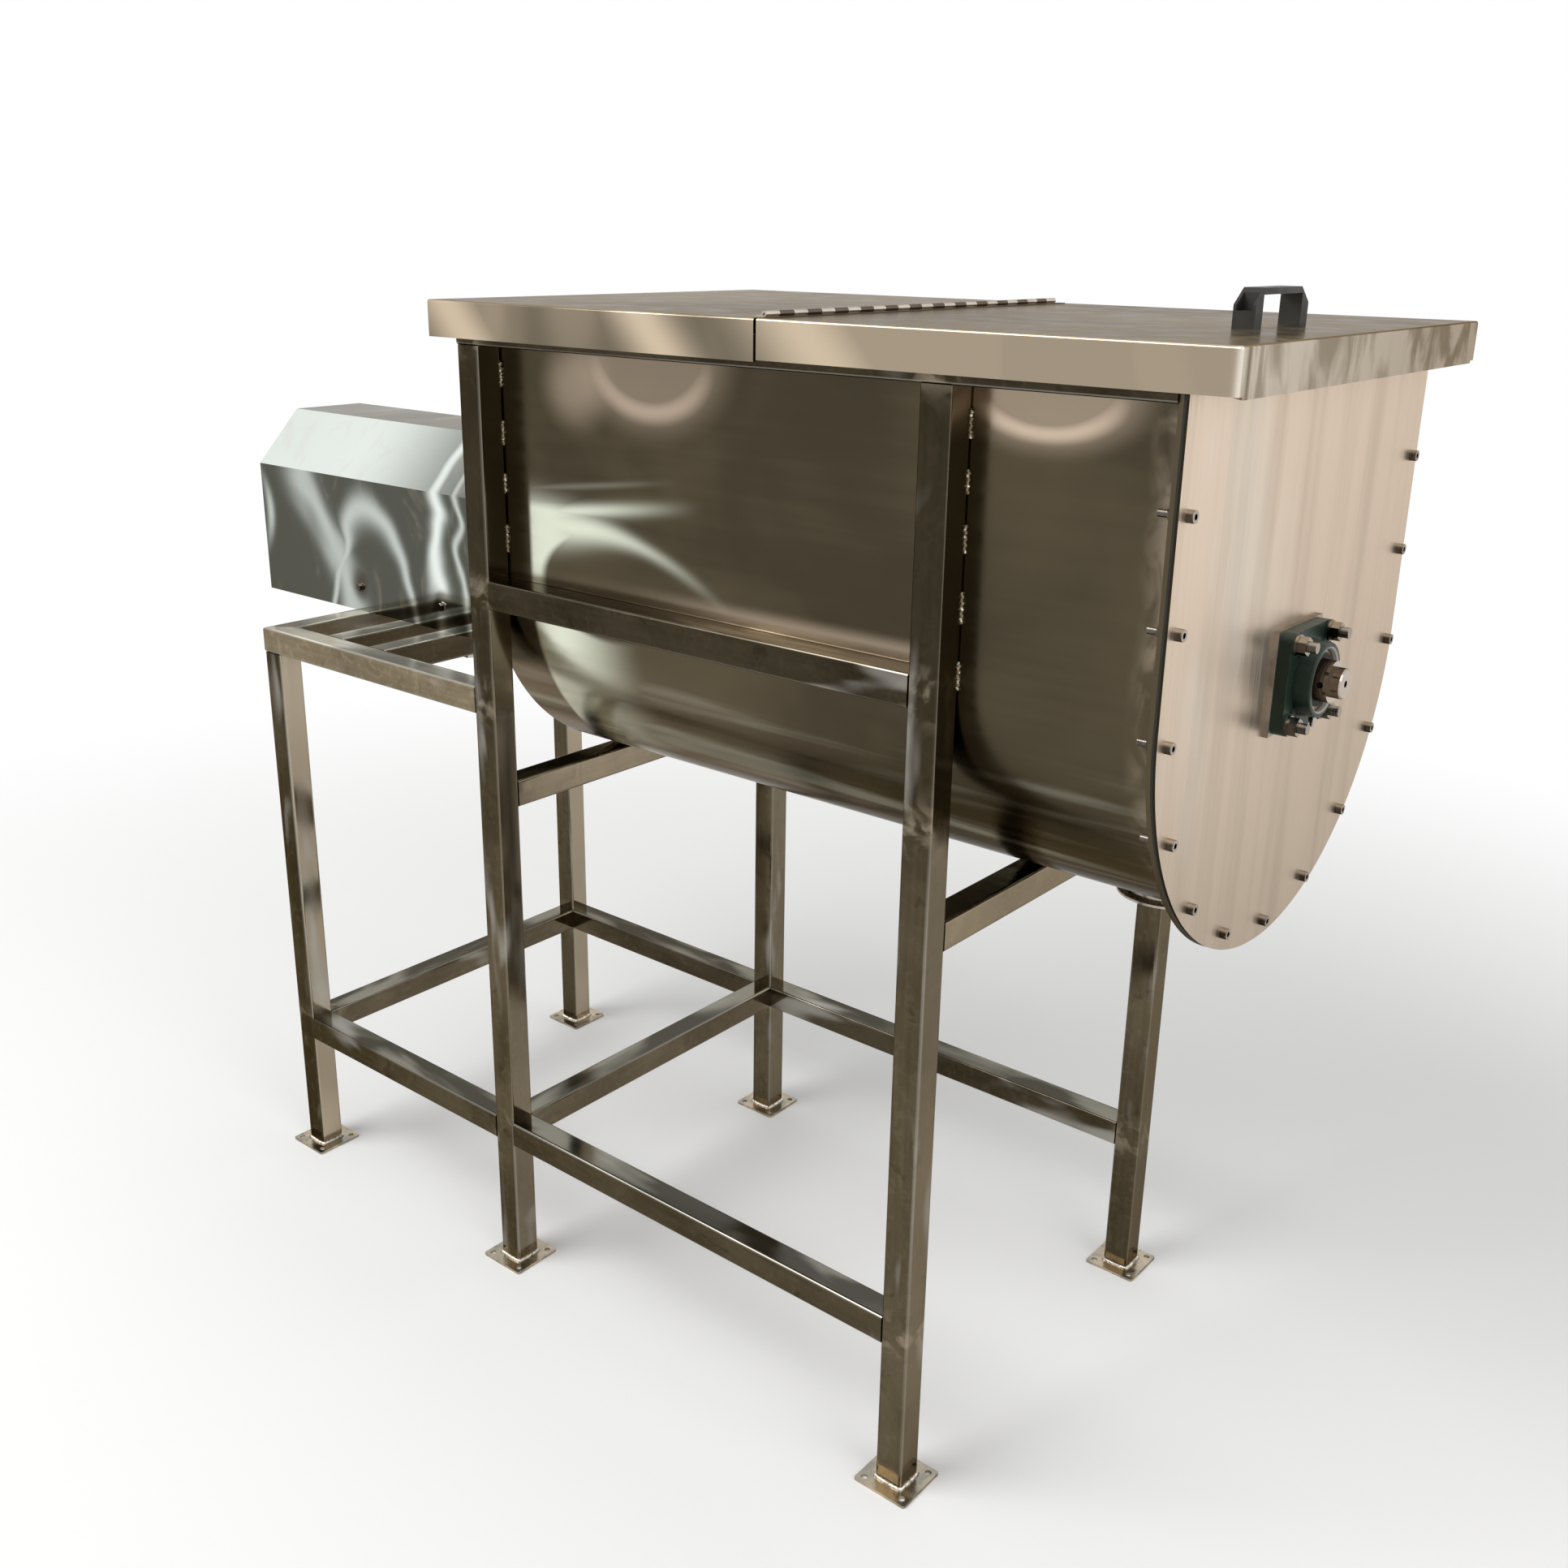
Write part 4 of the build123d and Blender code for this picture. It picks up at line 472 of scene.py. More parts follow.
def trough_finish(steel):
    """Bright sheet: dark clouds, faint rolling lines and painted reflections: warm arcs and a soft patch
    below the rim, a pale sweep at the left, and streaks and warm tones low down; and a stain beside the
    flange. Faces that look towards the shaft are pale and satin."""
    finish = Finish("trough_sheet")
    x, z = finish.axis("X"), finish.axis("Z")
    clouds = finish.noise(3.2, 3.0, distortion=0.5)
    lines = finish.noise(60.0, 2.0, drawn("X", 0.05))
    shade = finish.ramp(finish.blend(clouds, lines, 0.85), 0.35, 0.65)
    colour = finish.mix(shade, steel.trough_dark, steel.trough_light)
    # Painted reflections: warm arcs and a patch below the rim
    for arc in REFLECTION_ARCS:
        colour = finish.mix(reflection_arc(finish, x, z, *arc), colour, steel.trough_warm_reflection_and_stain)
    patch = finish.ramp(finish.oval(x, z, REFLECTION_PATCH, REFLECTION_PATCH_RADII), 0.2, 1.3, 0.38, 0.0)
    colour = finish.mix(patch, colour, steel.trough_warm_reflection_and_stain)
    # Painted reflections: pale streaks low down, and the pale sweep
    bands = finish.ramp(finish.noise(24.0, 3.0, drawn("X", 0.06), offset=6.0), 0.50, 0.68, 0.0, 0.3)
    streaks = finish.times(finish.ramp(z, 0.90, 1.04, 1.0, 0.0), bands)
    colour = finish.mix(finish.most([reflection_sweep(finish, x, z), streaks]), colour, steel.trough_pale_reflection)
    # Painted warm reflections lower down, and a stain beside the flange
    colour = finish.mix(low_reflections_and_stain(finish, x, z, lines), colour, steel.trough_warm_reflection_and_stain)
    inside = looks_inside(finish, z)
    colour = finish.mix(inside, colour, finish.mix(shade, steel.lid_light, steel.trough_inside))
    finish.bump(finish.noise(4.0, 1.0, offset=2.0), 0.003)
    polish = finish.ramp(lines, 0.3, 0.7, 0.19, 0.26)
    return finish.done(colour, 1.0, finish.plus(polish, finish.times(inside, 0.12)))


# Painted reflections as bright leaning bands on the lid's skirts: place along X, width and strength
LID_REFLECTION_BANDS = ((-0.185, 0.060, 1.0), (0.165, 0.050, 1.0), (0.405, 0.080, 0.95))
LID_BAND_LEAN = 0.9
# Dark line on the lid's end skirt, back from its front corner
LID_FOLD = 0.016


def lid_finish(steel):
    """Polished folded sheet with painted reflections: soft leaning bands on the skirts and a veined pattern
    on the end skirts, which have a pale front corner and a dark line beside it; and a rubbed top painted with
    a warm sheen."""
    finish = Finish("lid_sheet")
    x, y, z = (finish.axis(letter) for letter in "XYZ")
    low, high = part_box("hinged_lid")
    wipes = finish.noise(90.0, 2.0, drawn("Z", 1.0, 0.2))
    across = finish.minus(x, finish.times(finish.minus(high[2], z), LID_BAND_LEAN))
    # Painted reflections: leaning bands, a wandering veined pattern and a paler stretch towards the right end
    bands = [finish.times(finish.bell(across, place, width), strength)
             for place, width, strength in LID_REFLECTION_BANDS]
    wander = finish.noise(6.0, 1.0, drawn("Z", 0.4), distortion=0.7, offset=1.3)
    vein_reflections = finish.ramp(wander, 0.36, 0.66, 0.0, 0.45)
    past = finish.ramp(x, 0.45, 0.60, 0.0, 0.4)
    colour = finish.mix(finish.most([vein_reflections, past, *bands]), steel.lid_dark, steel.lid_light)
    # Painted reflections: a veined pattern on the end skirts
    ends = finish.ramp(finish.endward(), 0.6, 0.98)
    marbled_reflection = finish.noise(13.0, 3.0, drawn("Z", 0.35), distortion=1.8, offset=8.0)
    veined = finish.mix(finish.ramp(marbled_reflection, 0.36, 0.60, 0.5, 1.0), steel.lid_dark, steel.lid_end)
    colour = finish.mix(ends, colour, veined)
    # Painted sheen on the upper face, with darker clouds and rubbed smears
    upward = finish.ramp(finish.looks("Z"), 0.6, 0.98)
    clouds = finish.noise(1.7, 2.0, distortion=0.3, offset=5.0)
    top = finish.mix(finish.ramp(clouds, 0.3, 0.7, 0.0, 0.7), steel.lid_top_sheen, steel.lid_dark)
    smears = finish.noise(18.0, 4.0, drawn("X", 0.5), distortion=1.2, offset=2.0)
    rubbed = finish.ramp(finish.blend(smears, wipes, 0.7), 0.42, 0.66, 0.0, 0.35)
    colour = finish.mix(upward, colour, finish.mix(rubbed, top, steel.lid_light))
    corner = finish.times(finish.bell(x, high[0], 0.005), finish.bell(y, low[1], 0.006))
    colour = finish.mix(corner, colour, steel.lid_end)
    fold = finish.times(finish.bell(y, low[1] + LID_FOLD, 0.005), ends, 0.7)
    colour = finish.mix(fold, colour, steel.lid_dark)
    finish.bump(finish.noise(3.0, 1.0, offset=4.0), 0.0002)
    roughness = finish.plus(finish.ramp(wipes, 0.3, 0.7, 0.10, 0.18), finish.times(upward, 0.10))
    return finish.done(colour, 1.0, roughness, LID_GRAZING_TINT)


# Screws of the motor cover: places along X and height
COVER_SCREWS = (-0.664, -0.454)
COVER_SCREW_HEIGHT = 0.976
# Painted reflections as bright stripes on the motor cover's walls: place along X, width and strength
COVER_REFLECTION_STRIPES = ((-0.455, 0.014, 1.0), (-0.405, 0.008, 0.6))
# Painted reflections as a leaning band, arch and crescent on the motor cover's walls: place along X and
# height
COVER_BAND = (-0.805, 1.155)
COVER_ARCH = (-0.630, 1.110)
COVER_CRESCENT = (-0.908, 1.075)


def painted_cover_reflections(finish, x, z, swing):
    """Factors of the painted reflections on the motor cover's walls: a leaning band, an arch, a crescent and
    upright stripes. The swing bends all but the crescent."""
    across = finish.plus(x, swing)
    lean = finish.times(finish.minus(COVER_BAND[1], z), 0.55)
    band = finish.times(finish.bell(finish.minus(across, lean), COVER_BAND[0], 0.036), 0.55)
    away = finish.math("DIVIDE", finish.minus(across, COVER_ARCH[0]), 0.10)
    arch = finish.minus(COVER_ARCH[1], finish.times(away, away, 0.11))
    wave = finish.times(finish.bell(z, arch, 0.026), 0.6)
    rise = finish.minus(z, COVER_CRESCENT[1])
    bent = finish.plus(x, finish.times(rise, rise, 4.0))
    crescent = finish.times(finish.bell(bent, COVER_CRESCENT[0], 0.010), finish.bell(rise, 0.0, 0.05), 0.6)
    stripes = [finish.times(finish.bell(across, place, width), strength)
               for place, width, strength in COVER_REFLECTION_STRIPES]
    return [band, wave, crescent, *stripes]


def cover_finish(steel):
    """Mirror sheet of the motor cover with painted reflections: bright shapes on the walls, a white slope and
    a grey streaked top; and dark rounds about the screws."""
    finish = Finish("cover_sheet")
    x, z = finish.axis("X"), finish.axis("Z")
    flow = finish.noise(6.0, 1.0, drawn("Y", 0.4), distortion=0.8, offset=0.6)
    swing = finish.times(finish.minus(flow, 0.5), 0.10)
    upward = finish.looks("Z")
    # Painted reflection: upward slopes white at the left, greyer to the right
    slope = finish.times(finish.ramp(upward, 0.25, 0.6), finish.ramp(x, -0.70, -0.34, 1.0, 0.12))
    bright = finish.most([slope, *painted_cover_reflections(finish, x, z, swing)])
    colour = finish.mix(bright, steel.cover_dark, steel.cover_reflection_white)
    # Painted reflection: grey streaks on the flat top
    streaks = finish.noise(14.0, 2.0, drawn("Y", 0.3), distortion=0.8)
    top = finish.mix(finish.ramp(streaks, 0.52, 0.7, 0.1, 0.6), steel.cover_dark, steel.lid_light)
    colour = finish.mix(finish.ramp(upward, 0.9, 0.99), colour, top)
    smear = finish.noise(16.0, 3.0, drawn("Z", 0.4), distortion=1.5, offset=9.0)
    colour = finish.mix(finish.ramp(smear, 0.56, 0.75, 0.0, 0.12), colour, steel.lid_light)
    for place in COVER_SCREWS:
        reach = finish.plus(finish.oval(x, z, (place, COVER_SCREW_HEIGHT)), swing)
        colour = finish.mix(finish.ramp(reach, 0.008, 0.028, 0.75, 0.0), colour, steel.trough_dark)
    finish.bump(finish.noise(5.0, 1.0), 0.002)
    return finish.done(colour, 1.0, finish.ramp(flow, 0.3, 0.7, 0.07, 0.14))


def plate_finish(steel):
    """Brushed end plate: upright grain, broad soft streaks, paler upright streaks of painted sheen, a
    slightly darker foot and cut edges painted dark as shade. The flange behind it has edges like the
    trough's."""
    finish = Finish("brushed_plate")
    low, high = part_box("end_plate")
    height = finish.ramp(finish.axis("Z"), low[2], high[2])
    colour = finish.mix(height, steel.plate_bottom, steel.plate_top)
    streaks = finish.noise(24.0, 2.0, drawn("Z", 0.05), distortion=0.2)
    grain = finish.noise(420.0, 2.0, drawn("Z", 0.02))
    shade = finish.ramp(finish.blend(streaks, grain, 0.8), 0.42, 0.72, 0.0, 0.18)
    colour = finish.mix(shade, colour, steel.lid_dark)
    # Painted sheen: paler upright streaks
    pale = finish.ramp(finish.noise(7.0, 3.0, drawn("Z", 0.4), offset=2.5), 0.52, 0.75, 0.0, 0.25)
    colour = finish.mix(pale, colour, steel.cover_reflection_white)
    # Painted shade: the plate's cut edges are dark
    shaded_plate_edge = scaled(steel.tube_dark, 0.35)
    rim = finish.mix(finish.ramp(finish.axis("X"), low[0] - 0.001, low[0]), steel.trough_light, shaded_plate_edge)
    colour = finish.mix(finish.ramp(finish.endward(), 0.3, 0.7, 1.0, 0.0), colour, rim)
    finish.bump(grain, 0.00004)
    return finish.done(colour, 1.0, finish.ramp(grain, 0.3, 0.7, 0.30, 0.40))


# Stretch of the noise that draws fine rings round turned pieces
RINGS = drawn("X", 1.0, 0.02)
RING_RELIEF = 0.00002


def turned_finish(name, shade, scale=900.0, roughness=(0.18, 0.34), depth=0.45, spread=0.4):
    """Turned or ground metal with fine rings along X and faint clouds, with painted sheen on its ends and
    upper faces. The depth is the share of the colour left in the darkest places, the painted shade on the
    other faces;
    the spread how far the clouds lift it."""
    finish = Finish(name)
    rings = finish.noise(scale, 2.0, RINGS)
    clouds = finish.noise(35.0, 3.0)
    # Painted sheen on the ends and upper faces
    upward = finish.ramp(finish.most([finish.endward(), finish.looks("Z")]), 0.3, 0.9, 0.0, 0.6)
    tone = finish.plus(finish.ramp(finish.blend(rings, clouds, 0.4), 0.32, 0.62, 0.0, spread), upward)
    colour = finish.mix(tone, scaled(shade, depth), shade)
    finish.bump(rings, RING_RELIEF)
    return finish.done(colour, 1.0, finish.ramp(rings, 0.3, 0.7, *roughness))


def journal_finish(part):
    """Polished shaft and inner rings: dark round faces with fine rings, and turned ends painted pale as a
    highlight.
    """
    finish = Finish("journal_steel")
    rings = finish.noise(900.0, 2.0, RINGS)
    colour = finish.mix(finish.ramp(rings, 0.32, 0.68), scaled(part.journal, 0.8), part.journal)
    # Painted highlight on the turned ends
    colour = finish.mix(finish.ramp(finish.endward(), 0.5, 0.9), colour, part.fastener)
    finish.bump(rings, RING_RELIEF)
    return finish.done(colour, 1.0, finish.ramp(rings, 0.3, 0.7, 0.10, 0.20))


def casting_finish(name, shade, edge, roughness=0.3, mouth=None):
    """Painted casting with a faint sand grain, painted sheen on faces that look along the shaft and on upper
    faces, and paint worn thin at its edges. A mouth colour shows bare machined metal round the shaft."""
    finish = Finish(name)
    sand = finish.noise(420.0, 3.0)
    clouds = finish.noise(24.0, 3.0)
    # Painted sheen on faces that look along the shaft
    front = finish.ramp(finish.endward(), 0.4, 0.95, 0.0, 0.6)
    front_sheen_and_clouds = finish.plus(front, finish.ramp(clouds, 0.35, 0.7, 0.0, 0.4))
    colour = finish.mix(front_sheen_and_clouds, shade, scaled(shade, 2.2, 0.004))
    # Painted sheen on upper faces, in the edge colour
    colour = finish.mix(finish.ramp(finish.looks("Z"), 0.3, 0.95, 0.0, 0.55), colour, edge)
    rubbed = finish.ramp(finish.noise(90.0, 2.0), 0.38, 0.6, 0.0, 0.7)
    colour = finish.mix(finish.times(finish.edges(0.0012), rubbed), colour, edge)
    if mouth:
        reach = finish.oval(finish.axis("Y"), finish.axis("Z"), (0.0, AXIS_HEIGHT))
        inside = finish.ramp(reach, MOUTH_RADIUS, MOUTH_RADIUS + 0.0004, 1.0, 0.0)
        colour = finish.mix(inside, colour, mouth)
    finish.bump(sand, 0.00025)
    finish.shader.inputs["Specular IOR Level"].default_value = PAINT_SPECULAR
    return finish.done(colour, 0.0, finish.ramp(sand, 0.3, 0.7, roughness, roughness + 0.15))


def moulded_finish(name, shade, roughness, grain):
    """Moulded plastic or rubber with a fine grain and slightly rubbed edges."""
    finish = Finish(name)
    dust = finish.noise(30.0, 4.0)
    paler = scaled(shade, 1.9, 0.006)
    colour = finish.mix(finish.ramp(dust, 0.42, 0.75, 0.0, 0.7), shade, paler)
    colour = finish.mix(finish.times(finish.edges(0.0008), 0.35), colour, paler)
    finish.bump(finish.noise(1400.0, 2.0), grain)
    finish.shader.inputs["Specular IOR Level"].default_value = MOULDED_SPECULAR
    return finish.done(colour, 0.0, finish.ramp(dust, 0.3, 0.7, roughness - 0.08, roughness + 0.08))


def bead_finish(name, steel, low, high):
    """Bare weld metal, bright with small tinted spots. The tint sets in from the low to the high noise."""
    finish = Finish(name)
    spots = finish.noise(260.0, 3.0)
    tint = finish.mix(finish.ramp(spots, low, high), steel.bead, steel.tube_light)
    finish.bump(finish.noise(900.0, 2.0), 0.0002)
    return finish.done(tint, 1.0, finish.ramp(spots, 0.3, 0.7, 0.2, 0.4))


def dress(nodes, material):
    """Gives CAD pieces a finish."""
    for name in nodes:
        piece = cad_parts[name]
        if not piece.material_slots:
            piece.data.materials.append(material)
        for slot in piece.material_slots:
            slot.material = material


# Distance under which two points of a surface become one
MERGE_DISTANCE = 1e-7


def grid_mesh(name, points, wrap):
    """Mesh from grids of points: points[copy, i, j] is a place in metres, and each cell of a grid becomes one
    quad. A wrapped direction joins its last row to its first."""
    index = np.arange(points.size // 3).reshape(points.shape[:3])
    if wrap[0]:
        index = np.concatenate([index, index[:, :1]], axis=1)
    if wrap[1]:
        index = np.concatenate([index, index[:, :, :1]], axis=2)
    corners = (index[:, :-1, :-1], index[:, 1:, :-1], index[:, 1:, 1:], index[:, :-1, 1:])
    quads = np.stack(corners, axis=-1).reshape(-1, 4)
    mesh = bpy.data.meshes.new(name)
    mesh.from_pydata(points.reshape(-1, 3).tolist(), [], quads.tolist())
    return mesh


def surface(name, points, body, material, wrap=(False, True)):
    """Smooth closed piece from grids of points. Ends that run to one point are closed by merging it."""
    mesh = grid_mesh(name, points, wrap)
    shell = bmesh.new()
    shell.from_mesh(mesh)
    bmesh.ops.remove_doubles(shell, verts=shell.verts, dist=MERGE_DISTANCE)
    bmesh.ops.recalc_face_normals(shell, faces=shell.faces)
    for face in shell.faces:
        face.smooth = True
    shell.to_mesh(mesh)
    shell.free()
    mesh.materials.append(material)
    piece = bpy.data.objects.new(name, mesh)
    bpy.context.scene.collection.objects.link(piece)
    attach(piece, body)


def carried_circle(path, side, rise, radius, count):
    """Circle carried along a path: point = path + radius (cos a side + sin a rise), with a going once round.
    path, side and rise have shape (copies, steps, 3), and radius has shape (steps,) or (copies, steps)."""
    angle = np.linspace(0.0, 2 * np.pi, count, endpoint=False)
    radius = np.broadcast_to(radius, path.shape[:2])[:, :, None, None]
    across = side[:, :, None, :] * np.cos(angle)[None, None, :, None]
    upward = rise[:, :, None, :] * np.sin(angle)[None, None, :, None]
    return path[:, :, None, :] + radius * (across + upward)


# Share of a weld's full radius that is left between two ripples
RIPPLE_VALLEY = 0.82
# Points round a weld bead and along its path
BEAD_SIDES = 10
FOOT_BEAD_STEPS = 240
STITCH_STEPS = 70


def ripples(distance, length):
    """Share of the full radius along a weld: valley + (1 - valley) sqrt(|sin(pi distance / length)|)."""
    wave = np.sqrt(np.abs(np.sin(np.pi * distance / length)))
    return RIPPLE_VALLEY + (1.0 - RIPPLE_VALLEY) * wave


def rounded_square(half, corner, steps):
    """Points and outward directions once round a square with rounded corners, at even angles of a
    superellipse: |x|^n + |y|^n = half^n, with n large enough to leave the corners about that round."""
    power = 2.0 * half / corner
    angle = np.linspace(0.0, 2 * np.pi, steps, endpoint=False)
    direction = np.stack([np.cos(angle), np.sin(angle)], axis=-1)
    reach = half / np.sum(np.abs(direction) ** power, axis=-1) ** (1 / power)
    return direction * reach[:, None], direction


def foot_bead_points(sizes):
    """Weld bead round every leg where it stands on its foot plate: a rippled circle carried round a
    rounded square."""
    boxes = [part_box(name) for name in LEGS]
    half = (boxes[0][1][0] - boxes[0][0][0]) / 2
    outline, outward = rounded_square(half, half / 5, FOOT_BEAD_STEPS)
    steps = np.linalg.norm(np.diff(outline, axis=0, append=outline[:1]), axis=-1)
    distance = np.cumsum(steps)
    radius = sizes.foot_bead * ripples(distance, sizes.ripple)
    centres = np.array([[(low[0] + high[0]) / 2, (low[1] + high[1]) / 2, low[2]] for low, high in boxes])
    flat = np.concatenate([outline, np.zeros((len(outline), 1))], axis=-1)
    path = centres[:, None, :] + flat[None, :, :]
    side = np.broadcast_to(np.concatenate([outward, np.zeros((len(outward), 1))], axis=-1), path.shape)
    rise = np.broadcast_to(np.array([0.0, 0.0, 1.0]), path.shape)
    return carried_circle(path, side, rise, radius, BEAD_SIDES)


# Heights in metres at which each stitch weld starts and ends
MIDDLE_STITCHES = ((1.125, 1.165), (1.205, 1.234), (1.269, 1.304), (1.345, 1.381))
RIGHT_STITCHES = ((1.071, 1.105), (1.145, 1.182), (1.222, 1.255), (1.285, 1.313), (1.343, 1.376))
# Share of its radius by which a stitch is drawn back from the trough, and how squarely its ends close
STITCH_BACK = 0.25
STITCH_END_POWER = 12
# Sideways wander of a stitch in metres, its turns along the height and the shift from one row to the next
STITCH_WANDER = 0.0007
STITCH_TURNS = 900.0
STITCH_SHIFT = 50.0


def stitch_points(sizes):
    """Stitch welds in the corners between the trough and the legs beside it: a rippled circle carried
    straight up, whose radius closes to nothing at both ends."""
    rows = []
    for row, inward in (("front", 1.0), ("back", -1.0)):
        for place, stitches in (("middle", MIDDLE_STITCHES), ("right", RIGHT_STITCHES)):
            low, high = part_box(f"leg_{row}_{place}")
            seam = high[1] if inward > 0 else low[1]
            edges = (high[0],) if place == "middle" else (low[0], high[0])
            middle = seam - inward * sizes.seam_bead * STITCH_BACK
            rows += [(edge, middle, *ends) for edge in edges for ends in stitches]
    rows = np.array(rows)
    share = np.linspace(0.0, 1.0, STITCH_STEPS)
    height = rows[:, 2, None] + (rows[:, 3] - rows[:, 2])[:, None] * share[None, :]
    wander = np.sin(height * STITCH_TURNS + rows[:, :1] * STITCH_SHIFT) * STITCH_WANDER
    path = np.stack([rows[:, :1] + wander, np.broadcast_to(rows[:, 1:2], height.shape), height], axis=-1)
    taper = np.sqrt(np.maximum(0.0, 1.0 - np.abs(2 * share - 1) ** STITCH_END_POWER))
    radius = sizes.seam_bead * ripples(height - rows[:, 2, None], sizes.ripple) * taper[None, :]
    side = np.broadcast_to(np.array([1.0, 0.0, 0.0]), path.shape)
    rise = np.broadcast_to(np.array([0.0, 1.0, 0.0]), path.shape)
    return carried_circle(path, side, rise, radius, BEAD_SIDES)


# Rows of points in one turn of a thread, and points round it
THREAD_ROWS = 8
THREAD_SIDES = 14
# Shares of its depth by which a thread's root and its two ends lie below the bare rod
THREAD_ROOT = 0.15
THREAD_END = 0.6


def thread_points(starts, length, radius, pitch, depth, way):
    """Screw thread along X: r = radius - root depth + depth (2 |frac(x / pitch - a / 2 pi) - 1/2|), where a
    is the angle round the screw. The first and last ridges sink below the bare rod, and inside it the
    surface closes to a point at each end."""
    steps = int(length / pitch * THREAD_ROWS) + 1
    along = np.linspace(0.0, length, steps)
    along = np.concatenate([[pitch / 4], along, [length - pitch / 4]])
    angle = np.linspace(0.0, 2 * np.pi, THREAD_SIDES, endpoint=False)
    turn = along[:, None] / pitch - angle[None, :] / (2 * np.pi)
    ridge = 2 * np.abs(turn - np.floor(turn) - 0.5)
    reach = radius - THREAD_ROOT * depth + depth * ridge
    reach[[1, -2]] = radius - THREAD_END * depth
    reach[[0, -1]] = 0.0
    grid = np.stack([np.broadcast_to(way * along[:, None], reach.shape), reach * np.cos(angle),
                     reach * np.sin(angle)], axis=-1)
    return np.asarray(starts)[:, None, None, :] + grid[None]


# Places on the bearing end, in metres, as the solids have them
BEARING_DEPTH = 0.034
BOLT_LINE_RADIUS = 0.302
BOLT_PITCH = 0.115
BOLT_STEPS = 6
CAP_SCREW_RADIUS = 0.004
CAP_NUT_FACE = 0.8465
CAP_THREAD_LENGTH = 0.012
STUD_RADIUS = 0.006
STUD_REACH = 0.046
STUD_NUT_FACE = 0.0285
STUD_THREAD_LENGTH = 0.010
RING_RADIUS = 0.024
SET_SCREW_RADIUS = 0.0034
SET_SCREW_PLACE = 0.0374
SET_SCREW_TURNS = (0.0, 120.0)
SET_SCREW_FLAT = 0.0016
# Depths of the set screw's recess, of its face at the recess, inside the rim and at the rim, and of its end
SET_SCREW_RECESS = 0.0032
SET_SCREW_FACE = (0.0010, 0.0008, 0.0012)
SET_SCREW_END = 0.0038
# Share of the set screw's radius at which its rim starts to slope, and points round it
SET_SCREW_RIM = 0.85
SET_SCREW_SIDES = 36


def bearing_faces():
    """X of the faces that the two bearing housings stand on, right then left, and the way each looks."""
    low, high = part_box("bearing_housings")
    return ((high[0] - BEARING_DEPTH, 1.0), (low[0] + BEARING_DEPTH, -1.0))


def cap_thread_points(sizes):
    """Threads behind the end plate's nuts, at an even pitch along the U-shaped bolt line."""
    along = np.arange(-BOLT_STEPS, BOLT_STEPS + 1) * BOLT_PITCH
    quarter = BOLT_LINE_RADIUS * np.pi / 2
    angle = np.clip(along, -quarter, quarter) / BOLT_LINE_RADIUS
    straight = np.maximum(np.abs(along) - quarter, 0.0)
    starts = np.stack([np.full(along.shape, CAP_NUT_FACE), BOLT_LINE_RADIUS * np.sin(angle),
                       AXIS_HEIGHT - BOLT_LINE_RADIUS * np.cos(angle) + straight], axis=-1)
    return thread_points(starts, CAP_THREAD_LENGTH, CAP_SCREW_RADIUS, sizes.screw_pitch,
                         sizes.thread_depth, -1.0)


def stud_thread_points(sizes):
    """Threads on the stud ends of both bearings, outside their nuts."""
    grids = []
    for face, way in bearing_faces():
        starts = [(face + way * STUD_NUT_FACE, a * STUD_REACH, AXIS_HEIGHT + b * STUD_REACH)
                  for a in (-1, 1) for b in (-1, 1)]
        grids.append(thread_points(starts, STUD_THREAD_LENGTH, STUD_RADIUS, sizes.stud_pitch,
                                   sizes.thread_depth, way))
    return np.concatenate(grids)


def set_screw_points():
    """Grub screws in the bearing rings: a plug with a six-sided recess. The profile runs from the middle of
    the recess out to its edge, r = flat / cos(a mod 60 degrees), up its wall, over the face, down the side
    and back to the middle."""
    angle = np.linspace(0.0, 2 * np.pi, SET_SCREW_SIDES, endpoint=False)
    sixth = np.mod(angle + np.pi / 6, np.pi / 3) - np.pi / 6
    recess = SET_SCREW_FLAT / np.cos(sixth)
    rim = np.full(angle.shape, SET_SCREW_RADIUS)
    middle = np.zeros(angle.shape)
    radii = np.stack([middle, recess, recess, rim * SET_SCREW_RIM, rim, rim, middle])
    depth = np.array([SET_SCREW_RECESS, SET_SCREW_RECESS, *SET_SCREW_FACE, SET_SCREW_END, SET_SCREW_END])
    grids = []
    for face, way in bearing_faces():
        for turn in SET_SCREW_TURNS:
            out = math.radians(turn)
            outward = np.array([0.0, -way * math.cos(out), -math.sin(out)])
            sideways = np.array([0.0, way * math.sin(out), -math.cos(out)])
            centre = np.array([face + way * SET_SCREW_PLACE, 0.0, AXIS_HEIGHT])
            spread = (radii * np.cos(angle))[:, :, None] * np.array([1.0, 0.0, 0.0])
            spread = spread + (radii * np.sin(angle))[:, :, None] * sideways
            grids.append(centre + (RING_RADIUS - depth)[:, None, None] * outward + spread)
    return np.stack(grids)


# Half the width of the square tube, in metres
HALF_TUBE = 0.02


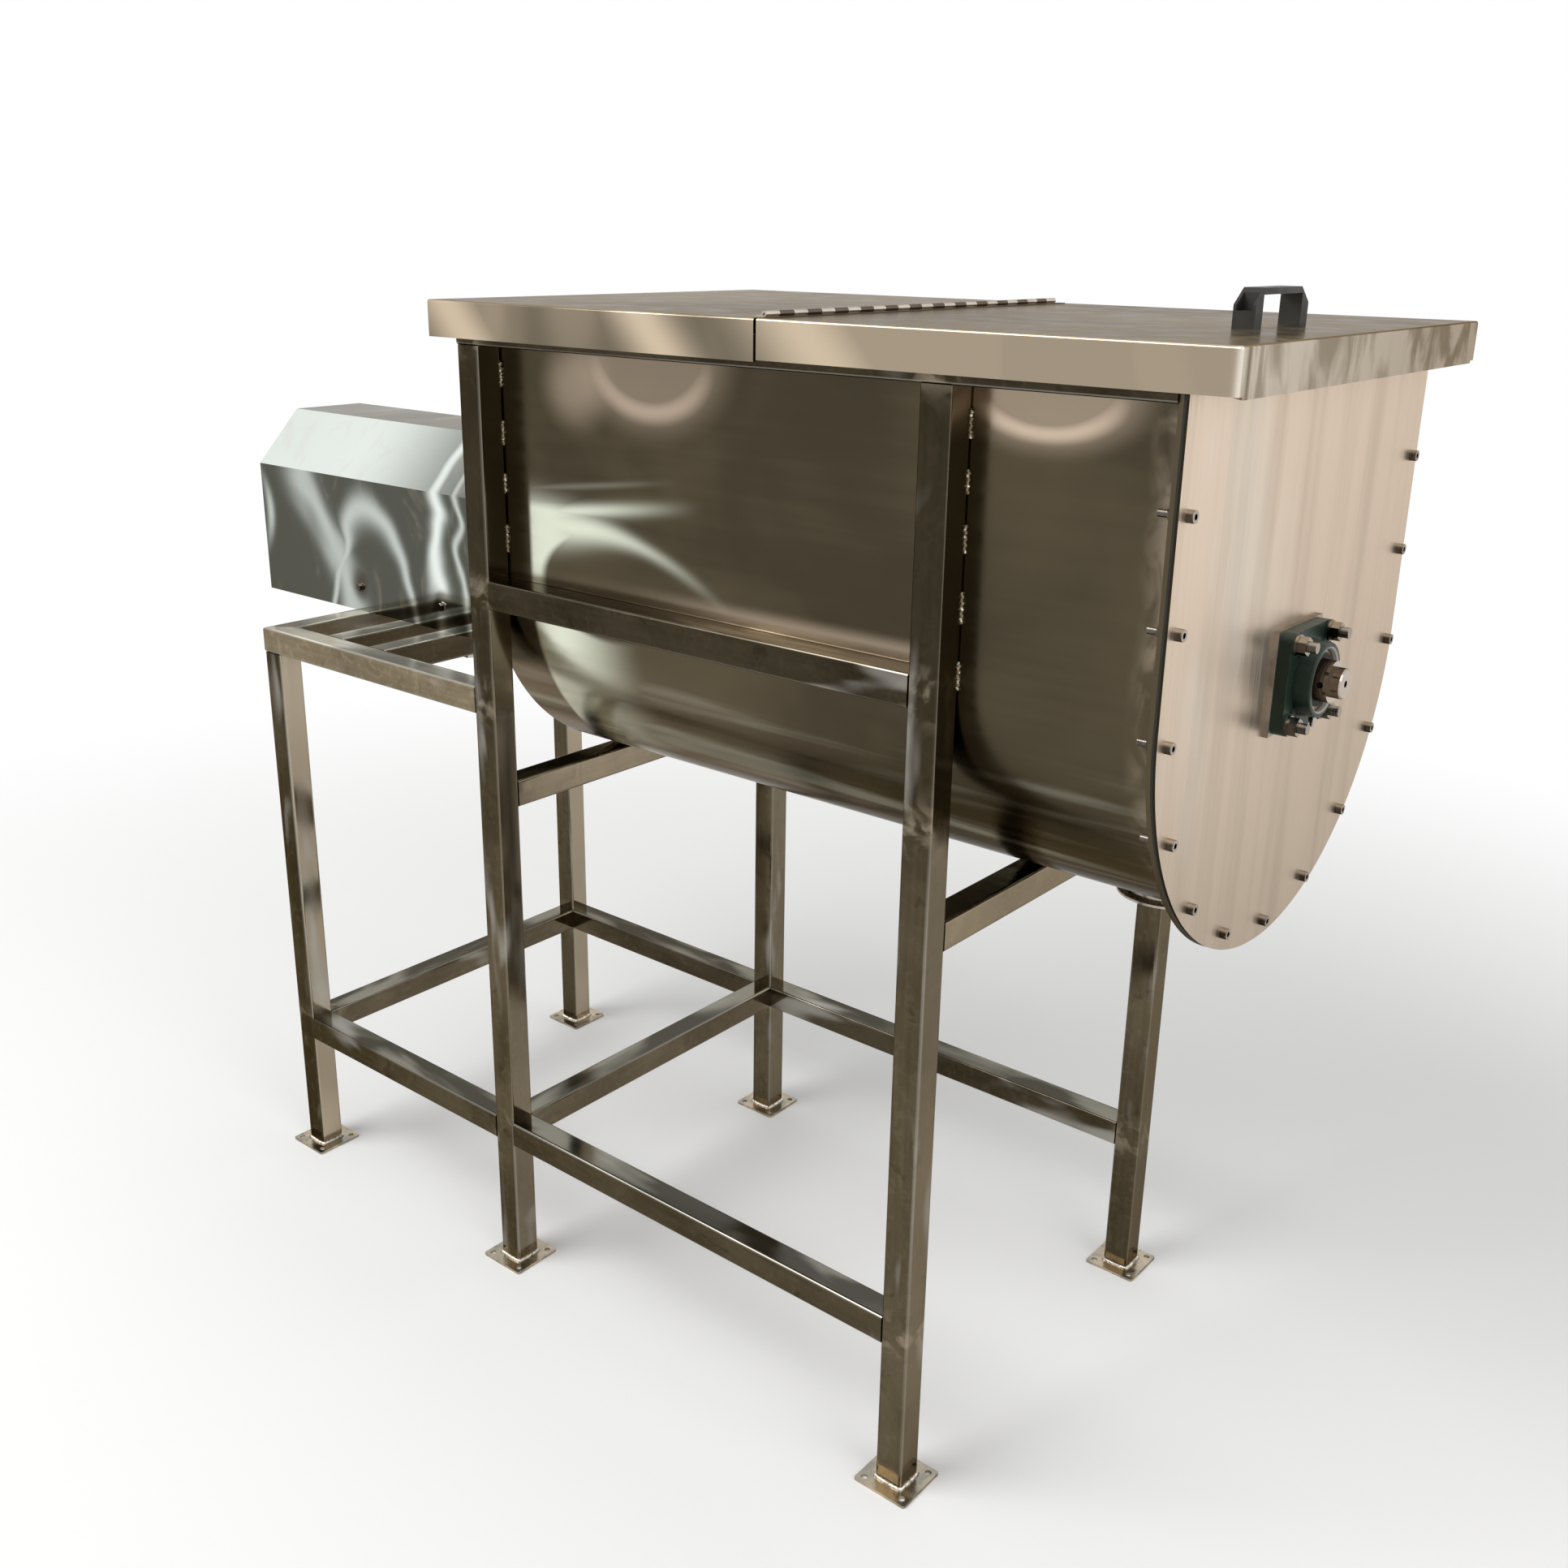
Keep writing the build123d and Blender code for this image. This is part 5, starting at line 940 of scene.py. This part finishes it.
class RIBBON_OT_frame_tubes(bpy.types.Operator):
    """Give the legs and rails their polished tube finishes"""

    bl_idname = "ribbon.frame_tubes"
    bl_label = "Frame tubes"

    def execute(self, context):
        steel = context.scene.ribbon_steel
        rails = ("lower_rail_front_left", "side_rail_front", "top_rail_front", "table_rail_front")
        heights = [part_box(name)[1][2] - HALF_TUBE for name in rails]
        columns = [sum(corner[0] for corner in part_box(name)) / 2 for name in LEGS[:3]]
        rows = [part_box("leg_front_right")[1][1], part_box("leg_back_right")[0][1]]
        # The tones and top shares make lit and shaded copies of one polished steel, group by group: painted
        # light and shade
        dress(TROUGH_LEGS, tube_finish("trough_leg_tube", steel, "Z", heights, tone=0.75, side=0.24,
                                       shaded=(0.45, 1.15)))
        dress(TABLE_LEGS, tube_finish("table_leg_tube", steel, "Z", heights, tone=0.5, side=0.7))
        dress(LOWER_RAILS, tube_finish("lower_rail_tube", steel, "X", columns, tone=0.55, top=0.5))
        dress(TROUGH_RAILS, tube_finish("trough_rail_tube", steel, "X", columns, tone=0.32, top=1.3))
        dress(TABLE_RAILS, tube_finish("table_rail_tube", steel, "X", columns, tone=1.7, top=1.8,
                                       metallic=0.4))
        dress(["lower_cross_rails"], tube_finish("lower_cross_tube", steel, "Y", rows, tone=0.85, top=0.55))
        dress(["trough_cross_rails"], tube_finish("trough_cross_tube", steel, "Y", rows, tone=1.4, side=0.3))
        dress(TABLE_CROSS, tube_finish("table_cross_tube", steel, "Y", rows, tone=1.4, top=1.8,
                                       metallic=0.4))
        return {"FINISHED"}


class RIBBON_OT_foot_plates(bpy.types.Operator):
    """Give the foot plates their cut and tinted steel"""

    bl_idname = "ribbon.foot_plates"
    bl_label = "Foot plates"

    def execute(self, context):
        dress(["foot_plates"], foot_finish(context.scene.ribbon_steel))
        return {"FINISHED"}


class RIBBON_OT_weld_beads(bpy.types.Operator):
    """Lay the beads round the feet and the stitch welds beside the trough"""

    bl_idname = "ribbon.weld_beads"
    bl_label = "Weld beads"

    def execute(self, context):
        sizes = context.scene.ribbon_detail
        steel = context.scene.ribbon_steel
        bright = bead_finish("weld_metal", steel, low=0.40, high=0.75)
        dull = bead_finish("seam_weld_metal", steel, low=0.30, high=0.48)
        surface("foot_weld_beads", foot_bead_points(sizes), "root", bright, (True, True))
        surface("trough_stitch_welds", stitch_points(sizes), "root", dull)
        return {"FINISHED"}


class RIBBON_OT_trough(bpy.types.Operator):
    """Give the trough its bright sheet and the end plate its brushed face"""

    bl_idname = "ribbon.trough"
    bl_label = "Trough"

    def execute(self, context):
        steel = context.scene.ribbon_steel
        part = context.scene.ribbon_part
        dress(TROUGH_SHEETS, trough_finish(steel))
        dress(END_PLATES, plate_finish(steel))
        dress(["outlet_spout"], turned_finish("spout_steel", part.fastener, scale=200.0, depth=0.4))
        return {"FINISHED"}


class RIBBON_OT_lid(bpy.types.Operator):
    """Give the two covers and their hinge polished sheet"""

    bl_idname = "ribbon.lid"
    bl_label = "Lid and hinge"

    def execute(self, context):
        dress(LID_SHEETS, lid_finish(context.scene.ribbon_steel))
        part = context.scene.ribbon_part
        dress(["hinge_leaf_fixed"], turned_finish("hinge_steel", part.fastener, scale=300.0))
        dress(WORN_HINGE, turned_finish("worn_hinge_steel", part.journal, scale=300.0))
        return {"FINISHED"}


class RIBBON_OT_handle(bpy.types.Operator):
    """Give the handle its black moulded plastic and the seals their rubber"""

    bl_idname = "ribbon.handle"
    bl_label = "Handle and rubber"

    def execute(self, context):
        part = context.scene.ribbon_part
        dress(["lid_handle"], moulded_finish("handle_plastic", part.plastic, roughness=0.42, grain=0.00012))
        dress(RUBBER, moulded_finish("seal_rubber", part.rubber, roughness=0.6, grain=0.0002))
        return {"FINISHED"}


class RIBBON_OT_bearings(bpy.types.Operator):
    """Give the flange bearings green castings and ground rings"""

    bl_idname = "ribbon.bearings"
    bl_label = "Flange bearings"

    def execute(self, context):
        part = context.scene.ribbon_part
        dress(["bearing_housings"], casting_finish("bearing_paint", part.casting, part.casting_wear_and_sheen,
                                                   mouth=tuple(part.machined)))
        dress(["bearing_plates"], turned_finish("backing_steel", part.backing, scale=40.0,
                                                roughness=(0.3, 0.42), depth=0.3))
        dress(["bearing_outer_rings", "gearbox_shaft"], turned_finish("ground_steel", part.ring))
        dress(["bearing_inner_rings", "agitator_shaft"], journal_finish(part))
        return {"FINISHED"}


class RIBBON_OT_fasteners(bpy.types.Operator):
    """Give screws, studs and nuts bright steel and cut their threads"""

    bl_idname = "ribbon.fasteners"
    bl_label = "Fasteners"

    def execute(self, context):
        sizes = context.scene.ribbon_detail
        part = context.scene.ribbon_part
        steel = turned_finish("bright_steel", part.fastener, scale=500.0, roughness=(0.08, 0.16), depth=0.05,
                              spread=0.1)
        dress(FASTENERS, steel)
        surface("end_plate_threads", cap_thread_points(sizes), "root", steel)
        surface("bearing_stud_threads", stud_thread_points(sizes), "root", steel)
        black = turned_finish("black_steel", part.rubber, scale=700.0)
        surface("bearing_set_screws", set_screw_points(), "agitator", black)
        return {"FINISHED"}


class RIBBON_OT_drive(bpy.types.Operator):
    """Give the agitator, coupling, gearbox and motor their finishes"""

    bl_idname = "ribbon.drive"
    bl_label = "Agitator and drive"

    def execute(self, context):
        part = context.scene.ribbon_part
        dress(AGITATOR, turned_finish("agitator_steel", part.agitator, scale=120.0, roughness=(0.28, 0.42)))
        dress(["coupling_hubs"], turned_finish("coupling_iron", part.iron, scale=700.0,
                                               roughness=(0.35, 0.5)))
        dress(["gearbox"], casting_finish("gearbox_paint", part.gearbox, part.motor))
        dress(["motor", "terminal_box"], casting_finish("motor_alloy", part.motor, part.ring, roughness=0.4))
        dress(["motor_fan_cowl"], casting_finish("cowl_paint", part.cowl, part.motor))
        return {"FINISHED"}


class RIBBON_OT_motor_cover(bpy.types.Operator):
    """Give the motor cover and its tabs mirror sheet"""

    bl_idname = "ribbon.motor_cover"
    bl_label = "Motor cover"

    def execute(self, context):
        dress(["motor_cover", "cover_brackets"], cover_finish(context.scene.ribbon_steel))
        return {"FINISHED"}


# Camera fitted to the photograph's angle, in metres and radians
CAMERA_PLACE = (1.5194, -1.6995, 1.5466)
CAMERA_YAW = 0.690957
CAMERA_PITCH = -0.327171
CAMERA_ROLL = 0.013122
CAMERA_SHIFT = (0.00523, -0.01051)
# Width of the camera's sensor in millimetres
CAMERA_SENSOR = 36.0
# Radii of the floor's rings, points round each, and where it fades to plain white, in metres
FLOOR_RINGS = np.array([0.0, 1.0, 2.5, 6.0, 20.0, 60.0])
FLOOR_SIDES = 64
FLOOR_FADE = (1.4, 3.4)
# Place, target and size of the two lamps, in metres
KEY_LAMP = ((-1.8, -3.2, 4.2), (0.0, 0.0, 0.9), 3.0)
FILL_LAMP = ((3.6, -0.6, 3.0), (0.3, 0.0, 0.9), 2.5)


def camera_matrix():
    """Camera turned by yaw about Z, then pitched and rolled, looking along its own -Z."""
    level = Matrix.Rotation(CAMERA_YAW, 4, "Z") @ Matrix.Rotation(math.pi / 2 + CAMERA_PITCH, 4, "X")
    return Matrix.Translation(CAMERA_PLACE) @ level @ Matrix.Rotation(CAMERA_ROLL, 4, "Z")


def background_seen(tree):
    """1 for rays from the camera and from shiny or clear surfaces, 0 for light on matt surfaces."""
    path = tree.nodes.new("ShaderNodeLightPath")
    seen = path.outputs["Is Camera Ray"]
    for name in ("Is Glossy Ray", "Is Transmission Ray"):
        either = tree.nodes.new("ShaderNodeMath")
        either.operation = "MAXIMUM"
        tree.links.new(seen, either.inputs[0])
        tree.links.new(path.outputs[name], either.inputs[1])
        seen = either.outputs[0]
    return seen


def white_world(sky):
    """World that shows plain white and lights matt surfaces more softly."""
    world = bpy.data.worlds.new("studio_white")
    bpy.context.scene.world = world
    world.use_nodes = True
    tree = world.node_tree
    backdrop = tree.nodes["Background"]
    backdrop.inputs["Color"].default_value = (1.0, 1.0, 1.0, 1.0)
    strength = tree.nodes.new("ShaderNodeMapRange")
    tree.links.new(background_seen(tree), strength.inputs["Value"])
    strength.inputs["To Min"].default_value = sky
    tree.links.new(strength.outputs["Result"], backdrop.inputs["Strength"])


def studio_floor(shade):
    """Round floor, a disc of rings about the object, point = ring (cos a, sin a, 0), matt near it and plain
    white far away."""
    angle = np.linspace(0.0, 2 * np.pi, FLOOR_SIDES, endpoint=False)
    circle = np.stack([np.cos(angle), np.sin(angle), np.zeros(FLOOR_SIDES)], axis=-1)
    points = FLOOR_RINGS[None, :, None, None] * circle
    mesh = grid_mesh("studio_floor", points, (False, True))
    floor = bpy.data.objects.new("studio_floor", mesh)
    bpy.context.scene.collection.objects.link(floor)
    finish = Finish("floor_paper")
    tree = finish.tree
    finish.done((*shade, 1.0), metallic=0.0, roughness=0.9)
    finish.shader.inputs["Specular IOR Level"].default_value = 0.0
    glow = tree.nodes.new("ShaderNodeEmission")
    away = finish.node("ShaderNodeVectorMath", operation="LENGTH")
    finish.feed(finish.place, away.inputs[0])
    far = finish.ramp(away.outputs["Value"], *FLOOR_FADE)
    share = finish.times(far, background_seen(tree))
    mixed = tree.nodes.new("ShaderNodeMixShader")
    finish.feed(share, mixed.inputs[0])
    finish.feed(finish.shader.outputs[0], mixed.inputs[1])
    finish.feed(glow.outputs[0], mixed.inputs[2])
    finish.feed(mixed.outputs[0], tree.nodes["Material Output"].inputs["Surface"])
    mesh.materials.append(finish.material)


def soft_lamp(name, place, target, size, power):
    """Square area lamp that faces a target."""
    data = bpy.data.lights.new(name, "AREA")
    data.shape = "SQUARE"
    data.size = size
    data.energy = power
    lamp = bpy.data.objects.new(name, data)
    bpy.context.scene.collection.objects.link(lamp)
    lamp.location = place
    aim = Vector(target) - lamp.location
    lamp.rotation_euler = aim.to_track_quat("-Z", "Y").to_euler()


class RIBBON_OT_stage(bpy.types.Operator):
    """Set the floor, the soft light and the camera"""

    bl_idname = "ribbon.stage"
    bl_label = "Studio"

    def execute(self, context):
        stage = context.scene.ribbon_stage
        context.scene.view_settings.view_transform = "Standard"
        white_world(stage.sky)
        studio_floor(stage.floor)
        soft_lamp("key_lamp", *KEY_LAMP, stage.key)
        soft_lamp("fill_lamp", *FILL_LAMP, stage.fill)
        data = bpy.data.cameras.new("photo_camera")
        data.lens = stage.lens
        data.sensor_width = CAMERA_SENSOR
        data.shift_x, data.shift_y = CAMERA_SHIFT
        data.dof.use_dof = False
        camera = bpy.data.objects.new("photo_camera", data)
        context.scene.collection.objects.link(camera)
        camera.matrix_world = camera_matrix()
        context.scene.camera = camera
        return {"FINISHED"}


OPERATORS = (RIBBON_OT_frame_tubes, RIBBON_OT_foot_plates, RIBBON_OT_weld_beads, RIBBON_OT_trough,
             RIBBON_OT_lid, RIBBON_OT_handle, RIBBON_OT_bearings, RIBBON_OT_fasteners, RIBBON_OT_drive,
             RIBBON_OT_motor_cover, RIBBON_OT_stage)
SETTINGS = {"ribbon_steel": RibbonSteelSettings, "ribbon_part": RibbonPartSettings,
            "ribbon_detail": RibbonDetailSettings, "ribbon_stage": RibbonStageSettings}


class RIBBON_PT_panel(bpy.types.Panel):
    """Settings and steps of the ribbon blender's finishes"""

    bl_idname = "RIBBON_PT_panel"
    bl_label = "Ribbon blender"
    bl_space_type = "VIEW_3D"
    bl_region_type = "UI"
    bl_category = "Ribbon blender"

    def draw(self, context):
        for name, group in SETTINGS.items():
            box = self.layout.box()
            for key in group.__annotations__:
                box.prop(getattr(context.scene, name), key)
        for operator in OPERATORS:
            self.layout.operator(operator.bl_idname)


def register():
    for item in (*SETTINGS.values(), *OPERATORS, RIBBON_PT_panel):
        bpy.utils.register_class(item)
    for name, group in SETTINGS.items():
        setattr(bpy.types.Scene, name, bpy.props.PointerProperty(type=group))


def unregister():
    for name in SETTINGS:
        delattr(bpy.types.Scene, name)
    for item in reversed((*SETTINGS.values(), *OPERATORS, RIBBON_PT_panel)):
        bpy.utils.unregister_class(item)


def main():
    """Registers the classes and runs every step."""
    register()
    bpy.ops.ribbon.frame_tubes()
    bpy.ops.ribbon.foot_plates()
    bpy.ops.ribbon.weld_beads()
    bpy.ops.ribbon.trough()
    bpy.ops.ribbon.lid()
    bpy.ops.ribbon.handle()
    bpy.ops.ribbon.bearings()
    bpy.ops.ribbon.fasteners()
    bpy.ops.ribbon.drive()
    bpy.ops.ribbon.motor_cover()
    bpy.ops.ribbon.stage()


if __name__ == "__main__":
    main()
